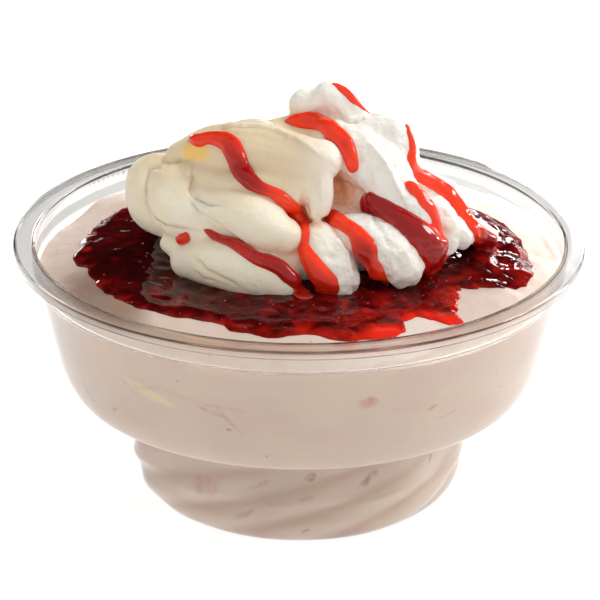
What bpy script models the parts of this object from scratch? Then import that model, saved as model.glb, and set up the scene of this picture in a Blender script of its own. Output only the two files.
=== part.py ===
"""Berry mousse in a clear stepped cup, topped with berry compote, whipped cream and drizzled sauce.

Run it with: blender --background --python part.py
The cup stands on the XY plane, centred on the Z axis, with its front towards -Y. Sizes are in
millimetres, and MM turns them into Blender's metres.
"""

import math

import bmesh
import bpy
from mathutils import Vector
from mathutils.bvhtree import BVHTree

MM = 0.001
SEGMENTS = 48
GAP = 0.35  # clearance that keeps neighbouring solids apart

# Cup: heights above the table, radii from the Z axis
RIM_Z = 55.5
WALL = 0.6
FLANGE_RADIUS = 58.8
FLANGE_ROUND = 0.5
SKIRT_DEPTH = 1.8
BAND_RADIUS = 54.2
LEDGE_Z = 49.5
FOOT_CORNER = 6.8
RING_RADIUS = 26.9
PUNT_RADIUS = 22.0
PUNT_DEPTH = 0.9
PUNT_SLOPE = 2.0  # width of the slope round the recess
FLUTES = 10
FLUTE_DEPTH = 1.0
FLUTE_TURN = math.radians(104)  # how far a flute winds round on its way up the foot

# Inner wall of the bowl from the ledge down, then of the foot, as (radius, height)
BOWL_WALL = [(53.6, 48.8), (52.8, 46.1), (51.8, 42.2), (50.8, 37.8), (49.9, 33.9), (49.1, 30.7),
             (48.2, 28.2), (46.5, 25.5), (45.2, 24.7), (41.8, 23.3), (38.2, 21.9)]
FOOT_WALL = [(35.1, 20.2), (34.4, 18.0), (34.6, 10.8)]

# Mousse
MOUSSE_EDGE_Z = 48.7
MOUSSE_DOME = 2.1
MOUSSE_SHOULDER = 11.0  # how far in from the wall the dome has risen
MOUSSE_RINGS = (0.95, 0.88, 0.79, 0.6, 0.3)
MOUSSE_RIPPLES = ((3, 0.7, 0.45), (7, -1.0, 0.25))  # (waves round the edge, phase, height)
MOUSSE_MOUND = (-40, 31, 1.3, 5)  # (x, y, height, spread)

# Compote: its outline as (bearing in degrees from +X, radius)
COMPOTE_OUTLINE = [(-175, 45.9), (-170.5, 43.8), (-160, 43.5), (-153.5, 42.9), (-143.5, 42.6),
                   (-129.5, 41.4), (-116.5, 39.1), (-113, 39.0), (-108.5, 40.8), (-96.5, 42.5),
                   (-92.5, 41.2), (-87, 41.1), (-77, 44.4), (-71, 43.9), (-65.5, 44.7), (-61, 42.6),
                   (-57, 38.7), (-52, 37.7), (-50, 41.1), (-48.5, 45.0), (-45, 45.8), (-41, 41.6),
                   (-37, 40.2), (-34, 38.4), (-31, 38.3), (-27, 36.4), (-24.5, 36.2), (-22, 40.5),
                   (-20, 45.9), (-18, 47.6), (-14, 48.6), (-5.5, 48.9), (1, 48.6), (11, 47.6),
                   (21, 48.0), (35, 47.5), (52, 47.2), (80, 44.6), (104, 46.6), (128, 44.0),
                   (145, 45.0), (155, 46.0), (172, 46.3), (179.5, 46.6)]
COMPOTE_THICKNESS = 1.7
COMPOTE_RINGS = (0.3, 0.52, 0.7, 0.84, 0.93, 0.98, 1.0)
COMPOTE_SEGMENTS = 60
COMPOTE_EDGE = 0.3  # thickness that is left at its edge
COMPOTE_EDGE_POWER = 8  # the higher, the squarer the edge
COMPOTE_LUMP = 0.35
COMPOTE_WAVES = ((0.42, 0.9), (0.39, -0.4))  # (radians a millimetre, phase) along X and along Y
COMPOTE_SLANT = (0.61, -0.45, 0.6)  # (along X, along Y, height) of the wave across them

# Whipped cream: each scoop is a rope through (x, y, height above the rim, radius), and the cutter
# that takes away whatever would lie in the compote reaches down to CUTTER_FLOOR_Z
SCOOPS = {
    "core": [(-14, 4, 4, 10), (0, 4, 6, 13), (14, 4, 6, 12)],
    "left_outer_fold": [(-29, 1, 10.5, 6.8), (-28.5, -3, 8, 6.4), (-25.5, -7, 6.5, 4.6), (-20, -10, 5, 4)],
    "left_inner_fold": [(-26, -5, 12.5, 5), (-24.5, -7.5, 9.5, 6.4), (-21, -9, 7, 6.2), (-15, -11, 5.5, 5)],
    "front_tongue": [(-19, -9, 12, 4), (-15, -12, 10.5, 5), (-10.5, -14.5, 10, 5.4), (-6, -17, 8, 5.2),
                     (-3.5, -17.5, 7, 4)],
    "upper_ridge": [(-24, -1, 17.2, 3.5), (-17.5, -2, 19, 5.5), (-10.5, -4, 19, 6.4), (-2, -7, 19, 5.8),
                    (4.2, -8.5, 19.8, 4.3)],
    "saddle": [(-22, -4, 14, 4.5), (-16, -8, 13.5, 4.5), (-8, -10, 14, 5), (0, -10, 15, 4.5)],
    "ridge_crest": [(-13, 0, 22, 2.4), (-8.5, 0, 22.7, 2.6), (-5, -1, 21.2, 2.4)],
    "drip_tip": [(0.8, -10, 17, 3.4), (2.6, -12.5, 13.4, 2.3), (3.2, -13.5, 10.6, 1.7)],
    "drip_side": [(4, -11, 17, 2.6), (4.9, -12.5, 13.8, 1.9), (4.6, -13.5, 11.2, 1.5)],
    "lower_lobe": [(-22.5, -14, 0, 3.6), (-18, -17, 1, 4.8), (-12, -19, 0.5, 5.4), (-7, -20.5, -0.5, 5),
                   (-3.5, -21, -2, 4)],
    "left_curl": [(-26.5, -11, 2.5, 1.8), (-23.5, -12, 1.5, 2.6), (-20, -13, 2, 3)],
    "peak": [(5.8, 4, 28.8, 3.4), (9.2, 3, 27.2, 3.4), (11.6, 2, 24.4, 3.4)],
    "peak_side": [(0.9, 6, 26.3, 3.5), (2.5, 4, 23, 3.8), (5, 2, 22, 4)],
    "shoulder": [(9.5, 1, 22, 4.8), (14.5, 0, 22.4, 4.6), (18.6, -1, 22, 4.3), (19.9, -2, 18, 4.4)],
    "right_face": [(8, -1, 20, 6.2), (13.5, -4, 18.3, 6.4), (17.5, -6.5, 15, 5.6)],
    "front_ridge": [(17, -8, 15.5, 5), (21, -11, 12, 4.4), (23, -12.5, 8.5, 4), (23.5, -13, 4, 4)],
    "hollow_back": [(5, -4, 9, 5), (10, -4, 8.5, 5), (15, -6, 8.5, 5), (20, -9, 6, 4.5)],
    "lower_right": [(11, -14, 5.5, 5), (15, -16, 5.4, 5), (18.5, -17.5, 3.2, 5.4), (20.5, -18, 1, 4.6)],
    "lower_middle": [(4, -15.5, 4.5, 4.6), (6, -18.5, 2, 4.8), (8, -20.5, -1, 4.2)],
    "right_nub": [(27.5, -8, 9, 3), (29.5, -10, 6.5, 3), (29.5, -11, 3, 2.6)],
    "right_foot": [(31, -6, 4.5, 3), (33, -7, 3, 2.6)],
    "far_right_foot": [(33.5, 1, 1.5, 2.8), (36.5, 2.5, 0.3, 2.5), (39, 2.5, -0.8, 2.1)],
    "slope_bump": [(26.5, 3, 9.5, 3.2), (30, 3.5, 8.6, 2.8)],
    "right_slope": [(21.5, 0, 13.5, 4.6), (25, 0, 9.5, 4.4), (29, -1, 6.5, 3.8), (32, -2, 4.5, 3.4),
                    (34.5, -3, 2.5, 2.8)],
    "under_tongue": [(-22, -10, 4, 4), (-14, -13, 4, 5), (-5, -15, 2, 5), (4, -14, 1, 5)],
    "middle": [(-20, -2, 10, 6), (-8, -4, 10, 8), (3, -6, 5, 7), (14, -8, 3, 7), (22, -6, 3, 6)],
    "upper_middle": [(-16, 2, 14, 6), (-6, 3, 16, 7.5), (4, 4, 18, 7.5), (12, 3, 17, 7.5)],
    "right_middle": [(14, -2, 10, 8), (22, -4, 6, 6), (28, -4, 3, 5)],
    "back_ridge": [(-22, 9, 9, 6), (-10, 13, 12, 7), (4, 14, 13, 7.5), (16, 10, 11, 7)],
    "back_skirt": [(-26, 8, 2, 5), (-14, 16, 2, 7), (2, 20, 2, 7.5), (16, 17, 2, 6.5), (27, 8, 2, 5)],
}
SCOOP_STEPS = 5
SCOOP_END_ANGLES = (20, 40, 60, 80)
CREAM_VOXEL = 0.8
CREAM_SMOOTHING = 4
CREAM_FACES = 5000
CUTTER_FLOOR_Z = 10.0

# Sauce: each run is a route of (x, height above the rim, width), drawn on the upright plane
# through the cup's axis and carried on to the cream by sight lines from VIEWPOINT
VIEWPOINT = (0.0, -649.0, RIM_Z + 263.0)
SAUCE_RUNS = {
    "left_run": [(-22.7, 21.2, 1.8), (-21.6, 21, 2.5), (-20.2, 20.8, 3.4), (-18.6, 21.3, 3.1),
                 (-16.1, 21, 3.9), (-14.3, 19.8, 4.9), (-13.1, 17.2, 5.2), (-12.2, 14.8, 4.7),
                 (-10.6, 12.5, 4.2), (-8.4, 10.6, 3), (-6.1, 9.7, 2.5), (-3.9, 8.3, 3.2),
                 (-1.4, 6.1, 3.4), (0.1, 3.3, 3.2), (0.8, 0.4, 3.1), (0.9, -2.5, 3.1), (1.8, -4.9, 4.4),
                 (3.5, -7.6, 5.4), (5.5, -10.5, 6.2)],
    "shaded_run": [(-19.8, 1.2, 1.8), (-18.6, 0.6, 1.8), (-16.8, -0.7, 2.2), (-14.1, -1.7, 3),
                   (-11.4, -3.3, 3.2), (-8.7, -5.1, 3.2), (-6, -6, 3.9), (-3.8, -7.2, 4.2),
                   (-1.9, -9.2, 3.9), (0, -11.6, 3.7)],
    "ridge_run": [(-3.4, 24.9, 1.8), (-1.7, 25.1, 2.2), (0.8, 25, 3.7), (3.3, 25.1, 3.7),
                  (5.6, 23.9, 3.7), (7.4, 21.7, 4.2), (9.1, 19.5, 3.9), (10.1, 17.4, 3.4),
                  (10.6, 15.4, 3), (10.2, 14.1, 2)],
    "peak_run": [(6.1, 33.2, 1.8), (7.5, 32.6, 1.8), (9.1, 31.3, 2.2), (10.4, 30, 2), (11.8, 28.7, 1.8),
                 (13.2, 27.5, 1.8), (14.2, 26.7, 1.8)],
    "right_run": [(21.3, 24.7, 1.8), (22, 22.9, 1.8), (22.6, 20.8, 1.8), (22.9, 19, 1.8),
                  (22.6, 17.3, 2.1), (22.9, 15.3, 2.3), (24.4, 13.7, 3), (26.5, 12.5, 3.2),
                  (28.8, 10.9, 3.9), (30.7, 8.9, 3.9), (32.2, 6.9, 3.7), (33.5, 4.9, 3.4),
                  (34.5, 3.2, 3.4), (36, 1.2, 3.7), (38.3, -1, 4.4)],
    "split_run": [(21.2, 11.6, 1.8), (22.7, 11.1, 2.7), (24.1, 9.7, 3), (25.2, 7.9, 3), (26.7, 6.2, 3.2),
                  (27.5, 4.2, 3), (27.8, 2, 3.2), (28.3, -0.7, 3.4)],
    "thick_run": [(13.1, 8, 7.4), (14.4, 7.4, 8.4), (16.8, 5.9, 8), (19.3, 3.9, 7.8), (21.8, 1.9, 7.4),
                  (24.1, -0.3, 7.8), (26.2, -2.9, 8.6)],
    "middle_run": [(5.2, 3.3, 3), (6.8, 3.8, 4.2), (8.9, 2.8, 3.2), (11, 1.3, 3.4), (12.6, -0.8, 4.7),
                   (13.5, -3, 5.4), (14.6, -5.5, 4.9), (15.8, -7.7, 4.4)],
}
SAUCE_THICKNESS = 1.5
SAUCE_FULLNESS = 0.72  # rise of a narrow run, as a share of half its width
SAUCE_BRIDGE = 0.6  # how much the widest runs bridge over hollows
SAUCE_SINK = 1.2
SAUCE_STEPS = 3
SAUCE_POINTS = 7  # across a run
SAUCE_END_SHARE = 0.08  # of a run's length, over which each end narrows
SAUCE_TIP = 0.35  # share of the width that is left at the tips


def new_collection(name):
    collection = bpy.data.collections.new(name)
    bpy.context.scene.collection.children.link(collection)
    return collection


def new_material(name, color, roughness, transmission=0.0):
    material = bpy.data.materials.new(name)
    material.use_nodes = True
    shader = material.node_tree.nodes["Principled BSDF"]
    shader.inputs["Base Color"].default_value = (*color, 1.0)
    shader.inputs["Roughness"].default_value = roughness
    shader.inputs["Metallic"].default_value = 0.0
    shader.inputs["Transmission Weight"].default_value = transmission
    return material


def new_object(name, mesh, collection, material=None):
    result = bpy.data.objects.new(name, mesh)
    collection.objects.link(result)
    if material:
        mesh.materials.append(material)
    return result


def evaluated_mesh(source):
    """The object's mesh with its modifiers applied."""
    graph = bpy.context.evaluated_depsgraph_get()
    return bpy.data.meshes.new_from_object(source.evaluated_get(graph))


def catmull_rom(knots, steps):
    """Points on a smooth curve through the knots, each a tuple of any length."""
    ends = [knots[0], *knots, knots[-1]]
    points = []
    for before, start, stop, after in zip(ends, ends[1:], ends[2:], ends[3:]):
        for step in range(steps):
            t = step / steps
            points.append(tuple(
                0.5 * (2 * b + (c - a) * t + (2 * a - 5 * b + 4 * c - d) * t ** 2
                       + (3 * b - a - 3 * c + d) * t ** 3)
                for a, b, c, d in zip(before, start, stop, after)))
    points.append(tuple(knots[-1]))
    return points


def smooth_step(value):
    value = min(max(value, 0.0), 1.0)
    return value * value * (3 - 2 * value)


def arc(center, radius, start, stop, steps):
    """Points (radius, height) on an arc between two angles in degrees."""
    angles = [math.radians(start + (stop - start) * step / steps) for step in range(steps + 1)]
    return [(center[0] + radius * math.cos(a), center[1] + radius * math.sin(a)) for a in angles]


def foot_path():
    """Inner wall of the foot from its top to the axis, as (radius, height)."""
    corner = arc((RING_RADIUS, WALL + FOOT_CORNER), FOOT_CORNER, 0, -90, 4)
    punt = [(PUNT_RADIUS + PUNT_SLOPE, WALL), (PUNT_RADIUS, WALL + PUNT_DEPTH),
            (0.0, WALL + PUNT_DEPTH)]
    return FOOT_WALL + corner + punt


def cup_path():
    """The flange and the inner wall, from the skirt's lower edge over the rim to the axis."""
    flange = [(FLANGE_RADIUS, RIM_Z - SKIRT_DEPTH), (FLANGE_RADIUS, RIM_Z - FLANGE_ROUND),
              (FLANGE_RADIUS - FLANGE_ROUND, RIM_Z), (BAND_RADIUS + FLANGE_ROUND, RIM_Z),
              (BAND_RADIUS, RIM_Z - FLANGE_ROUND), (BAND_RADIUS, LEDGE_Z)]
    return flange + BOWL_WALL + foot_path()


def flute_offset(angle, height):
    """How far the swirled foot's wall is pressed in at this bearing and height."""
    rise = height / FOOT_WALL[0][1]
    if not 0 < rise < 1:
        return 0.0
    wave = 0.5 - 0.5 * math.cos(FLUTES * (angle - FLUTE_TURN * rise))
    return -FLUTE_DEPTH * wave * math.sin(math.pi * rise)


def add_flutes(mesh):
    for vertex in mesh.vertices:
        x, y, z = vertex.co / MM
        radius = math.hypot(x, y)
        if radius > RING_RADIUS:
            stretch = 1 + flute_offset(math.atan2(y, x), z) / radius
            vertex.co.x *= stretch
            vertex.co.y *= stretch


def screw_mesh(name, path, collection):
    """The mesh of a profile of (radius, height) points turned about the Z axis."""
    mesh = bpy.data.meshes.new(name)
    points = [(radius * MM, 0.0, height * MM) for radius, height in path]
    mesh.from_pydata(points, [(i, i + 1) for i in range(len(points) - 1)], [])
    turned = new_object(name, mesh, collection)
    screw = turned.modifiers.new("Turn", "SCREW")
    screw.steps = screw.render_steps = SEGMENTS
    screw.use_merge_vertices = True
    screw.merge_threshold = 0.0001
    result = evaluated_mesh(turned)
    bpy.data.objects.remove(turned)
    bpy.data.meshes.remove(mesh)
    return result


def build_cup(collection):
    mesh = screw_mesh("cup", cup_path(), collection)
    add_flutes(mesh)
    plastic = new_material("clear_plastic", (0.93, 0.94, 0.93), 0.05, transmission=1.0)
    cup = new_object("cup", mesh, collection, plastic)
    wall = cup.modifiers.new("Wall", "SOLIDIFY")
    wall.thickness = WALL * MM
    wall.offset = 1.0
    wall.use_even_offset = True
    mesh.shade_smooth()
    return cup


def mousse_height(x, y):
    """Height of the mousse's uneven top, which climbs from the wall towards the middle."""
    radius = math.hypot(x, y)
    bearing = math.atan2(y, x)
    dome = MOUSSE_DOME * smooth_step((BAND_RADIUS - radius) / MOUSSE_SHOULDER)
    ripple = sum(size * math.sin(waves * bearing + phase) for waves, phase, size in MOUSSE_RIPPLES)
    mound_x, mound_y, mound_height, spread = MOUSSE_MOUND
    from_mound = math.hypot(x - mound_x, y - mound_y) / spread
    mound = mound_height * math.exp(-from_mound ** 2 / 2)
    return MOUSSE_EDGE_Z + dome + ripple * radius / BAND_RADIUS + mound


def mousse_path():
    """The bowl's inner wall set in by the gap, from the mousse's top edge down to the axis."""
    wall = BOWL_WALL[1:] + foot_path()
    path = [(BOWL_WALL[0][0] - GAP, MOUSSE_EDGE_Z)]
    for (radius, height), ahead in zip(wall, wall[1:]):
        along = Vector((ahead[0] - radius, ahead[1] - height)).normalized()
        path.append((radius + along.y * GAP, height - along.x * GAP))
    path.append((0.0, wall[-1][1] + GAP))
    return path


def build_mousse(collection):
    """The filling turned to the bowl's shape, closed by rings that follow its uneven top."""
    mesh = screw_mesh("mousse", mousse_path(), collection)
    add_flutes(mesh)
    form = bmesh.new()
    form.from_mesh(mesh)
    edge_radius = (BOWL_WALL[0][0] - GAP) * MM
    ring = [edge for edge in form.edges if edge.is_boundary]
    for share in MOUSSE_RINGS:
        grown = bmesh.ops.extrude_edge_only(form, edges=ring)["geom"]
        for vertex in (item for item in grown if isinstance(item, bmesh.types.BMVert)):
            flat = vertex.co.to_2d().normalized() * edge_radius * share
            vertex.co.x, vertex.co.y = flat
        ring = [item for item in grown if isinstance(item, bmesh.types.BMEdge)]
    bmesh.ops.contextual_create(form, geom=ring)
    top_z = (BOWL_WALL[1][1] + MOUSSE_EDGE_Z) / 2 * MM
    for vertex in form.verts:
        if vertex.co.z > top_z:
            vertex.co.z = mousse_height(vertex.co.x / MM, vertex.co.y / MM) * MM
    lid = [face for face in form.faces if len(face.verts) > 4]
    bmesh.ops.poke(form, faces=lid)
    bmesh.ops.recalc_face_normals(form, faces=form.faces)
    form.to_mesh(mesh)
    form.free()
    mesh.shade_smooth()
    pink = new_material("mousse", (0.66, 0.50, 0.42), 0.45)
    return new_object("mousse", mesh, collection, pink)


def compote_radius(bearing):
    """The compote's outline at a bearing in radians, eased between its listed points."""
    degrees = math.degrees(bearing) % 360
    outline = sorted((angle % 360, radius) for angle, radius in COMPOTE_OUTLINE)
    outline = [(outline[-1][0] - 360, outline[-1][1]), *outline, (outline[0][0] + 360, outline[0][1])]
    for (low, first), (high, second) in zip(outline, outline[1:]):
        if low <= degrees <= high:
            return first + (second - first) * smooth_step((degrees - low) / (high - low))
    return outline[0][1]


def compote_floor(x, y, share):
    """Height of the compote's underside, which lies just clear of the mousse."""
    return mousse_height(x, y) + GAP


def compote_top(x, y, share):
    """Height of the compote's lumpy top, share of the way out to its edge."""
    (x_turn, x_phase), (y_turn, y_phase) = COMPOTE_WAVES
    slant_x, slant_y, slant_height = COMPOTE_SLANT
    lumps = math.sin(x_turn * x + x_phase) * math.sin(y_turn * y + y_phase)
    lumps += slant_height * math.sin(slant_x * x + slant_y * y)
    body = COMPOTE_THICKNESS + COMPOTE_LUMP * lumps
    edge = math.sqrt(max(1 - share ** COMPOTE_EDGE_POWER, 0.0))
    return compote_floor(x, y, share) + COMPOTE_EDGE + body * edge


def cutter_top(x, y, share):
    return compote_top(x, y, 0) + GAP


def cutter_floor(x, y, share):
    return CUTTER_FLOOR_Z


def polar_point(bearing, share, height_of):
    radius = share * compote_radius(bearing)
    x = radius * math.cos(bearing)
    y = radius * math.sin(bearing)
    return Vector((x, y, height_of(x, y, share))) * MM


def polar_solid(name, top_of, floor_of):
    """A closed mesh over the compote's outline, between two heights given as functions."""
    form = bmesh.new()
    bearings = [2 * math.pi * step / COMPOTE_SEGMENTS for step in range(COMPOTE_SEGMENTS)]
    rings = []
    for height_of, shares in ((top_of, COMPOTE_RINGS), (floor_of, COMPOTE_RINGS[::-2])):
        for share in shares:
            rings.append([form.verts.new(polar_point(bearing, share, height_of)) for bearing in bearings])
    for inner, outer in zip(rings, rings[1:]):
        for i, j in zip(range(COMPOTE_SEGMENTS), [*range(1, COMPOTE_SEGMENTS), 0]):
            form.faces.new((inner[i], outer[i], outer[j], inner[j]))
    caps = [form.faces.new(rings[0]), form.faces.new(rings[-1][::-1])]
    bmesh.ops.poke(form, faces=caps)
    bmesh.ops.recalc_face_normals(form, faces=form.faces)
    mesh = bpy.data.meshes.new(name)
    form.to_mesh(mesh)
    form.free()
    return mesh


def build_compote(collection):
    mesh = polar_solid("compote", compote_top, compote_floor)
    mesh.shade_smooth()
    berry = new_material("compote", (0.10, 0.006, 0.007), 0.12)
    return new_object("compote", mesh, collection, berry)


def build_cream_cutter(collection):
    """Everything below the compote's top and a gap, which the cream sits on."""
    mesh = polar_solid("cream_cutter", cutter_top, cutter_floor)
    cutter = new_object("cream_cutter", mesh, collection)
    cutter.hide_render = True
    cutter.display_type = "WIRE"
    return cutter


def rounded_scoop(knots):
    """Points along a scoop, with both ends rounded off."""
    points = catmull_rom(knots, SCOOP_STEPS)
    ends = []
    for end, inside in ((points[0], points[1]), (points[-1], points[-2])):
        outward = (Vector(end[:3]) - Vector(inside[:3])).normalized()
        cap = []
        for angle in map(math.radians, SCOOP_END_ANGLES):
            place = Vector(end[:3]) + outward * end[3] * math.sin(angle)
            cap.append((*place, end[3] * math.cos(angle)))
        ends.append(cap)
    return ends[0][::-1] + points + ends[1]


def scoop_curves(collection):
    """One curve object with a rope for each scoop, as thick as the scoop at every point."""
    curve = bpy.data.curves.new("scoops", "CURVE")
    curve.dimensions = "3D"
    curve.bevel_depth = MM
    curve.bevel_resolution = 4
    curve.use_fill_caps = True
    for knots in SCOOPS.values():
        points = rounded_scoop(knots)
        rope = curve.splines.new("POLY")
        rope.points.add(len(points) - 1)
        for target, (x, y, height, radius) in zip(rope.points, points):
            target.co = (x * MM, y * MM, (RIM_Z + height) * MM, 1.0)
            target.radius = radius
    return new_object("scoops", curve, collection)


def remeshed(name, mesh, collection, smoothing):
    """One closed skin round everything in the mesh."""
    lump = new_object(name, mesh, collection)
    skin = lump.modifiers.new("Skin", "REMESH")
    skin.mode = "VOXEL"
    skin.voxel_size = CREAM_VOXEL * MM
    if smoothing:
        smooth = lump.modifiers.new("Smooth", "SMOOTH")
        smooth.factor = 0.5
        smooth.iterations = smoothing
    result = evaluated_mesh(lump)
    bpy.data.objects.remove(lump)
    return result


def bare_cream(collection):
    scoops = scoop_curves(collection)
    mesh = evaluated_mesh(scoops)
    bpy.data.objects.remove(scoops)
    form = bmesh.new()
    form.from_mesh(mesh)
    bmesh.ops.remove_doubles(form, verts=form.verts, dist=0.001 * MM)
    form.to_mesh(mesh)
    form.free()
    return remeshed("bare_cream", mesh, collection, CREAM_SMOOTHING)


def surface_of(mesh):
    form = bmesh.new()
    form.from_mesh(mesh)
    tree = BVHTree.FromBMesh(form)
    form.free()
    return tree


def run_points(route, surface):
    """Points (place, normal, width) along a run of sauce on the cream."""
    eye = Vector(VIEWPOINT) * MM
    knots = []
    for x, height, width in route:
        drawn = Vector((x, 0, RIM_Z + height)) * MM
        hit = surface.ray_cast(eye, (drawn - eye).normalized())[0]
        knots.append((*(hit or surface.find_nearest(drawn)[0]), width))
    curve = catmull_rom(knots, SAUCE_STEPS)
    return [(*surface.find_nearest(Vector(place))[:2], width) for *place, width in curve]


def run_section(place, normal, side, half_width, thickness, surface):
    """A closed loop across a run: its domed top from side to side, and its sunk underside back."""
    hug = 1 - SAUCE_BRIDGE * smooth_step((half_width / MM - 2.5) / 1.5)
    top = []
    bottom = []
    for step in range(SAUCE_POINTS):
        across = 2 * step / (SAUCE_POINTS - 1) - 1
        flat = place + side * across * half_width
        foot = flat.lerp(surface.find_nearest(flat)[0], hug)
        top.append(foot + normal * thickness * math.sqrt(1 - across ** 2))
        bottom.append(foot - normal * SAUCE_SINK * MM)
    return top + bottom[::-1]


def add_run(form, route, surface):
    """Lofts one run of sauce over the cream, narrowing at both ends."""
    points = run_points(route, surface)
    last = len(points) - 1
    loops = []
    for i, (place, normal, width) in enumerate(points):
        along = (points[min(i + 1, last)][0] - points[max(i - 1, 0)][0]).normalized()
        side = along.cross(normal).normalized()
        from_end = min(i, last - i) / last / SAUCE_END_SHARE
        fullness = SAUCE_TIP + (1 - SAUCE_TIP) * math.sqrt(smooth_step(from_end))
        half_width = fullness * width * MM / 2
        thickness = min(SAUCE_THICKNESS * MM, half_width * SAUCE_FULLNESS)
        section = run_section(place, normal, side, half_width, thickness, surface)
        loops.append([form.verts.new(corner) for corner in section])
    count = len(loops[0])
    for here, ahead in zip(loops, loops[1:]):
        for i in range(count):
            j = (i + 1) % count
            form.faces.new((here[i], here[j], ahead[j], ahead[i]))
    form.faces.new(loops[0][::-1])
    form.faces.new(loops[-1])


def build_cream(collection, cutter):
    """The heap of cream with the sauce fused on to it, cut off where it meets the compote."""
    bare = bare_cream(collection)
    surface = surface_of(bare)
    form = bmesh.new()
    form.from_mesh(bare)
    for route in SAUCE_RUNS.values():
        add_run(form, route, surface)
    bmesh.ops.recalc_face_normals(form, faces=form.faces)
    form.to_mesh(bare)
    form.free()
    mesh = remeshed("cream_and_sauce", bare, collection, smoothing=0)
    white = new_material("whipped_cream", (0.86, 0.80, 0.68), 0.4)
    cream = new_object("cream", mesh, collection, white)
    fewer = cream.modifiers.new("Fewer faces", "DECIMATE")
    fewer.ratio = CREAM_FACES / (2 * len(mesh.polygons))
    cut = cream.modifiers.new("Compote", "BOOLEAN")
    cut.operation = "DIFFERENCE"
    cut.solver = "EXACT"
    cut.object = cutter
    mesh.shade_smooth()
    return cream


def build():
    for old in list(bpy.data.objects):
        bpy.data.objects.remove(old, do_unlink=True)
    dessert = new_collection("mousse_cup")
    cutters = new_collection("cutters")
    build_cup(dessert)
    build_mousse(dessert)
    build_compote(dessert)
    build_cream(dessert, build_cream_cutter(cutters))


build()
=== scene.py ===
"""Berry mousse in a clear stepped cup: the finish of every surface, and the stage it stands on.

The cup stands on the XY plane, centred on the Z axis, with its front towards -Y. The tables and
constants are in millimetres, and MM turns them into Blender's metres.
"""

import math
import random

import bmesh
import bpy
import numpy as np
from bpy.props import FloatProperty, FloatVectorProperty, IntProperty, PointerProperty
from mathutils import Matrix, Vector, noise
from mathutils.bvhtree import BVHTree
from mathutils.kdtree import KDTree


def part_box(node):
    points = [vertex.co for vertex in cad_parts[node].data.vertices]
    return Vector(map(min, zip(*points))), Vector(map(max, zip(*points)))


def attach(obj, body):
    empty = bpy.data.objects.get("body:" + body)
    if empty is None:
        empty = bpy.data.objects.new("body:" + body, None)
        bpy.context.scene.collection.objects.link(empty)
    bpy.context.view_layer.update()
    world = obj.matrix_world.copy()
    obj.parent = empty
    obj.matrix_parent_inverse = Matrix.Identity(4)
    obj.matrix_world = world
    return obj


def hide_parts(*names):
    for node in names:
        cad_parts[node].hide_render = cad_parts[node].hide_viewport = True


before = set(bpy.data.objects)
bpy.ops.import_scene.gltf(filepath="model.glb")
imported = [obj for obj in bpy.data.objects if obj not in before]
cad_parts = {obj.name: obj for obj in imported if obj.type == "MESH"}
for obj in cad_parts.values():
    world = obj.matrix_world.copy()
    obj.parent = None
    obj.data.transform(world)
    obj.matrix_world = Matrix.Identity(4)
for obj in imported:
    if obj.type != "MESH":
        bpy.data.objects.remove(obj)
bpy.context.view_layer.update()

bl_info = {
    "name": "Berry Mousse Cup",
    "version": (1, 0, 0),
    "blender": (4, 5, 0),
    "location": "View3D > Sidebar > Dessert",
    "description": "Builds a berry mousse with compote, whipped cream and sauce in a clear cup",
    "category": "Add Mesh",
}

MM = 0.001

# Cup, from the frame's box and the solids' own sizes
RIM_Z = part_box("cup")[1].z / MM
FLANGE_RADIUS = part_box("cup")[1].x / MM
WALL = 0.6
SKIRT_DEPTH = 1.8
BAND_RADIUS = FLANGE_RADIUS - 4.6
LEDGE_Z = RIM_Z - 6.0
# Heights over which the lid band's grey stripe of painted shade fades in and out
BAND_SHADE_STRIPE = (LEDGE_Z + 0.3, LEDGE_Z + 0.6, RIM_Z - 3.2, RIM_Z - 2.9)
RIB_HEIGHT = 2.2
RIB_WIDTH = 0.9
RIB_Z = RIM_Z - 2.0
RIB_PITCH = 1.6  # degrees
RIB_START = 128.0
BOWL_WALL = [(53.6, 48.8), (52.8, 46.1), (51.8, 42.2), (50.8, 37.8), (49.9, 33.9), (49.1, 30.7),
             (48.2, 28.2), (47.3, 26.5), (46.5, 25.5), (45.2, 24.7), (41.8, 23.3), (38.2, 21.9)]
FOOT_WALL = [(35.1, 20.2), (34.4, 18.0), (34.6, 10.8)]
FOOT_CORNER = 6.8
RING_RADIUS = 26.9
PUNT_RADIUS = 22.0
PUNT_DEPTH = 0.9
FLUTE_TURN = math.radians(104)
TURN_STEPS = 288

# Mousse
MOUSSE_EDGE_Z = 48.7
MOUSSE_DOME = 2.1
MOUSSE_SHOULDER = 11.0
MOUSSE_REACH = 0.15  # how far it reaches into the cup's wall
MOUSSE_RIPPLES = ((3, 0.7, 0.45), (7, -1.0, 0.25))
MOUSSE_MOUND = (-40, 31, 1.3, 5)
MOUSSE_SWELLS = ((0.45, 9.0, 3.0), (0.22, 3.6, 8.0))
MOUSSE_TOP_RINGS = 46
MOUSSE_RING_POWER = 1.7  # brings the rings closer together at its edge
WALL_RADIUS = 49.0  # of the bowl's wall where its marks are

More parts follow.
